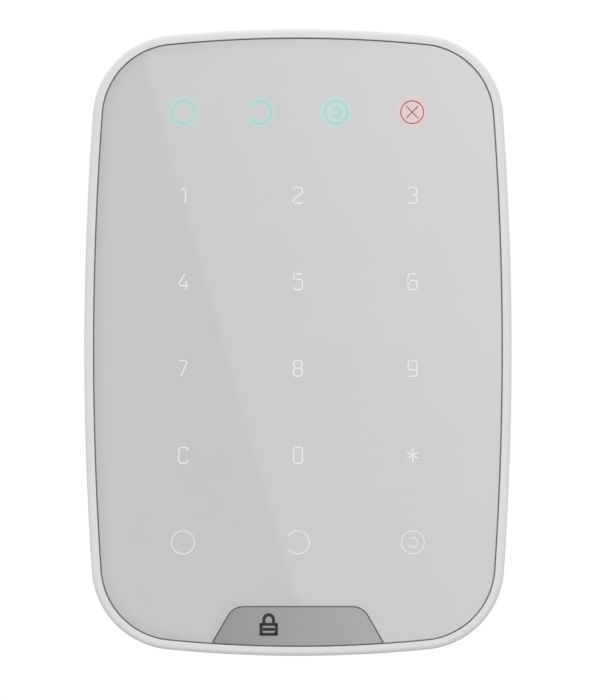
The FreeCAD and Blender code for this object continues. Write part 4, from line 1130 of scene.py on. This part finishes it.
class KEYPAD_OT_springs(bpy.types.Operator):
    """Winds the tamper spring and the two tapered battery springs"""

    bl_idname = "keypad.springs"
    bl_label = "Springs"

    def execute(self, context):
        tree = coil_tree()
        low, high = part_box("tamper_spring")
        wire, turns, travel = 0.25 * MM, 3.5, 0.6 * MM
        radius = (high.x - low.x) / 2 - wire
        values = {
            "Turns": turns, "Foot radius": radius, "Top radius": radius, "Length": high.y - low.y - 2 * wire,
            "Wire radius": wire, "Finish": finish("spring_steel"),
        }
        data = tree.run(points_object([(0, 0, 0)]), values)
        data.transform(Matrix.Rotation(math.pi / 2, 4, "X"))
        data.transform(Matrix.Translation(((low.x + high.x) / 2, high.y - wire, (low.z + high.z) / 2)))
        spring = place_piece("tamper_coil", data, "spring_steel", 40)
        settle(spring, "housing", "spring_steel", "tamper_spring")
        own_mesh(spring)
        for side in ("left", "right"):
            node = f"contact_spring_{side}"
            low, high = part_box(node)
            wire, strip, turns, foot_radius, top_radius = 0.3 * MM, 0.4 * MM, 3.25, 3.3 * MM, 1.7 * MM
            foot = low.z + strip + wire
            values = {
                "Turns": turns, "Foot radius": foot_radius, "Top radius": top_radius,
                "Length": high.z - foot - wire, "Wire radius": wire, "Finish": finish("contact_nickel"),
            }
            coil = tree.run(points_object([(0, 0, 0)]), values)
            middle = (low + high) / 2
            coil.transform(Matrix.Translation((middle.x, middle.y, foot)))
            mesh = bmesh.new()
            mesh.from_mesh(coil)
            base = bmesh.ops.create_cube(mesh, size=1)["verts"]
            bmesh.ops.scale(mesh, vec=(high.x - low.x, high.y - low.y, strip), verts=base)
            bmesh.ops.translate(mesh, vec=(middle.x, middle.y, low.z + strip / 2), verts=base)
            piece = new_piece(f"battery_spring_{side}", mesh, "contact_nickel", 40)
            settle(piece, "housing", "contact_nickel", node)
        return {"FINISHED"}


class KEYPAD_OT_finishes(bpy.types.Operator):
    """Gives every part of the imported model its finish"""

    bl_idname = "keypad.finishes"
    bl_label = "Inner finishes"

    def execute(self, context):
        slots = {part["node"]: part["material_slot"] for part in frame["record"]["subparts"]}
        for node, thing in frame["nodes"].items():
            for index in range(max(1, len(thing.material_slots))):
                if not thing.material_slots:
                    thing.data.materials.append(None)
                thing.material_slots[index].material = finish(slots[node])
        return {"FINISHED"}


class KEYPAD_OT_studio(bpy.types.Operator):
    """Sets up the floor, the even light, the tilted softbox and the camera"""

    bl_idname = "keypad.studio"
    bl_label = "Studio"

    def execute(self, context):
        studio = context.scene.keypad_studio
        self.add_floor(context, studio)
        self.add_sky(context, studio)
        aim = Vector((studio.aim_x, -PANEL_FRONT, studio.aim_z))
        self.add_camera(context, studio, aim)
        self.add_softbox(context, studio, aim)
        context.scene.view_settings.view_transform = "Standard"
        context.scene.view_settings.look = "None"
        return {"FINISHED"}

    @staticmethod
    def add_floor(context, studio):
        mesh = bmesh.new()
        bmesh.ops.create_circle(mesh, cap_ends=True, radius=studio.floor_radius, segments=128)
        data = bpy.data.meshes.new("studio_floor")
        mesh.to_mesh(data)
        mesh.free()
        data.transform(Matrix.Translation((0, 0, FRAME_LOW.z - studio.floor_drop)))
        made = Recipe("floor_paper", (0.86, 0.86, 0.86), 0.8)
        fibre = made.noise(0.8 * MM, 3.0)
        made.set("Base Color", made.blend(fibre, (0.85, 0.85, 0.85), (0.87, 0.87, 0.87)))
        data.materials.append(made.material)
        floor = bpy.data.objects.new("studio_floor", data)
        context.scene.collection.objects.link(floor)
        # left out of soft bounced light, so that the casing's underside keeps its shade
        floor.visible_diffuse = False

    @staticmethod
    def add_sky(context, studio):
        """Even light, brighter from the front and from above, against a plain white ground."""
        world = bpy.data.worlds.new("studio_sky")
        context.scene.world = world
        world.use_nodes = True
        tree = world.node_tree
        tree.nodes.clear()
        place = tree.nodes.new("ShaderNodeTexCoord")
        slope = tree.nodes.new("ShaderNodeVectorMath")
        slope.operation = "DOT_PRODUCT"
        slope.inputs[1].default_value = (0, -studio.front_light, studio.top_light)
        total = tree.nodes.new("ShaderNodeMath")
        total.inputs[1].default_value = studio.even_light
        light = tree.nodes.new("ShaderNodeBackground")
        plain = tree.nodes.new("ShaderNodeBackground")
        path = tree.nodes.new("ShaderNodeLightPath")
        mix = tree.nodes.new("ShaderNodeMixShader")
        out = tree.nodes.new("ShaderNodeOutputWorld")
        plain.inputs["Color"].default_value = (1, 1, 1, 1)
        light.inputs["Color"].default_value = (1, 1, 1, 1)
        tree.links.new(place.outputs["Generated"], slope.inputs[0])
        tree.links.new(slope.outputs["Value"], total.inputs[0])
        tree.links.new(total.outputs[0], light.inputs["Strength"])
        tree.links.new(path.outputs["Is Camera Ray"], mix.inputs[0])
        tree.links.new(light.outputs[0], mix.inputs[1])
        tree.links.new(plain.outputs[0], mix.inputs[2])
        tree.links.new(mix.outputs[0], out.inputs[0])

    @staticmethod
    def add_camera(context, studio, aim):
        data = bpy.data.cameras.new("camera")
        data.lens = studio.lens
        data.sensor_width = 36
        data.clip_start, data.clip_end = 0.01, 20
        camera = bpy.data.objects.new("camera", data)
        context.scene.collection.objects.link(camera)
        back = Vector((0, -math.cos(studio.elevation), math.sin(studio.elevation)))
        camera.location = aim + back * studio.distance
        camera.rotation_mode = "QUATERNION"
        camera.rotation_quaternion = (-back).to_track_quat("-Z", "Y")
        context.scene.camera = camera

    @staticmethod
    def add_softbox(context, studio, aim):
        """A tall softbox behind the camera, whose tilted edge crosses the panel's reflection."""
        data = bpy.data.lights.new("softbox", "AREA")
        data.shape = "RECTANGLE"
        width, height, depth = 0.3, 0.9, 1.4
        # how the brightness gathers towards the far side
        gather = 1.6
        data.size, data.size_y = width, height
        data.energy = studio.softbox
        data.use_nodes = True
        tree = data.node_tree
        glow = tree.nodes["Emission"]
        across = tree.nodes.new("ShaderNodeSeparateXYZ")
        curve = tree.nodes.new("ShaderNodeMath")
        curve.operation = "POWER"
        curve.inputs[1].default_value = gather
        fade = tree.nodes.new("ShaderNodeMapRange")
        fade.inputs["To Min"].default_value = 0.0
        product = tree.nodes.new("ShaderNodeMath")
        product.operation = "MULTIPLY"
        strength = tree.nodes.new("ShaderNodeMapRange")
        strength.inputs["To Min"].default_value = 1.0
        strength.inputs["To Max"].default_value = 1.0 + studio.softbox_rise
        place = tree.nodes.new("ShaderNodeNewGeometry")
        tree.links.new(place.outputs["Parametric"], across.inputs[0])
        tree.links.new(across.outputs["X"], curve.inputs[0])
        tree.links.new(across.outputs["Y"], fade.inputs["Value"])
        tree.links.new(curve.outputs[0], product.inputs[0])
        tree.links.new(fade.outputs[0], product.inputs[1])
        tree.links.new(product.outputs[0], strength.inputs["Value"])
        tree.links.new(strength.outputs[0], glow.inputs["Strength"])
        light = bpy.data.objects.new("softbox", data)
        context.scene.collection.objects.link(light)
        camera = context.scene.camera.location
        reach = (depth - PANEL_FRONT) / (-camera.y - PANEL_FRONT)

        def reflected(x, z):
            """Where the ray that shows this point of the panel comes from, at the softbox's depth."""
            point = Vector((x, -PANEL_FRONT, z))
            away = (point - camera) * reach
            return Vector((point.x + away.x, -depth, point.z + away.z))

        # two points of the panel where the softbox's edge is seen
        upper, lower = reflected(-31.8 * MM, 48.6 * MM), reflected(-0.5 * MM, -61.9 * MM)
        along = (upper - lower).normalized()
        right = along.cross(Vector((0, -1, 0)))
        if right.x < 0:
            right = -right
        light.location = (upper + lower) / 2 + right * data.size / 2
        facing = Matrix((right, along, right.cross(along))).transposed()
        if facing.col[2].y > 0:
            facing = Matrix((-right, along, (-right).cross(along))).transposed()
        light.rotation_mode = "QUATERNION"
        light.rotation_quaternion = facing.to_quaternion()


class KEYPAD_PT_sidebar(bpy.types.Panel):
    """Lists the keypad's pieces and settings"""

    bl_idname = "KEYPAD_PT_sidebar"
    bl_label = "Alarm keypad"
    bl_space_type = "VIEW_3D"
    bl_region_type = "UI"
    bl_category = "Keypad"

    def draw(self, context):
        for operator in OPERATORS:
            self.layout.operator(operator.bl_idname)
        for group in (context.scene.keypad_sizes, context.scene.keypad_colours, context.scene.keypad_studio):
            box = self.layout.box()
            for name in group.bl_rna.properties.keys():
                if name not in ("rna_type", "name"):
                    box.prop(group, name)


OPERATORS = (
    KEYPAD_OT_finishes,
    KEYPAD_OT_front_frame,
    KEYPAD_OT_touch_panel,
    KEYPAD_OT_badge,
    KEYPAD_OT_key_legends,
    KEYPAD_OT_status_lights,
    KEYPAD_OT_mouldings,
    KEYPAD_OT_screws,
    KEYPAD_OT_springs,
    KEYPAD_OT_studio,
)
GROUPS = (KeypadSizes, KeypadColours, KeypadStudio)


def register():
    for group in GROUPS:
        bpy.utils.register_class(group)
    for kind in (*OPERATORS, KEYPAD_PT_sidebar):
        bpy.utils.register_class(kind)
    bpy.types.Scene.keypad_sizes = bpy.props.PointerProperty(type=KeypadSizes)
    bpy.types.Scene.keypad_colours = bpy.props.PointerProperty(type=KeypadColours)
    bpy.types.Scene.keypad_studio = bpy.props.PointerProperty(type=KeypadStudio)


def unregister():
    for name in ("keypad_studio", "keypad_colours", "keypad_sizes"):
        delattr(bpy.types.Scene, name)
    for kind in (KEYPAD_PT_sidebar, *reversed(OPERATORS), *reversed(GROUPS)):
        bpy.utils.unregister_class(kind)


def main():
    register()
    bpy.ops.keypad.finishes()
    bpy.ops.keypad.front_frame()
    bpy.ops.keypad.touch_panel()
    bpy.ops.keypad.badge()
    bpy.ops.keypad.key_legends()
    bpy.ops.keypad.status_lights()
    bpy.ops.keypad.mouldings()
    bpy.ops.keypad.screws()
    bpy.ops.keypad.springs()
    bpy.ops.keypad.studio()


if __name__ == "__main__":
    main()
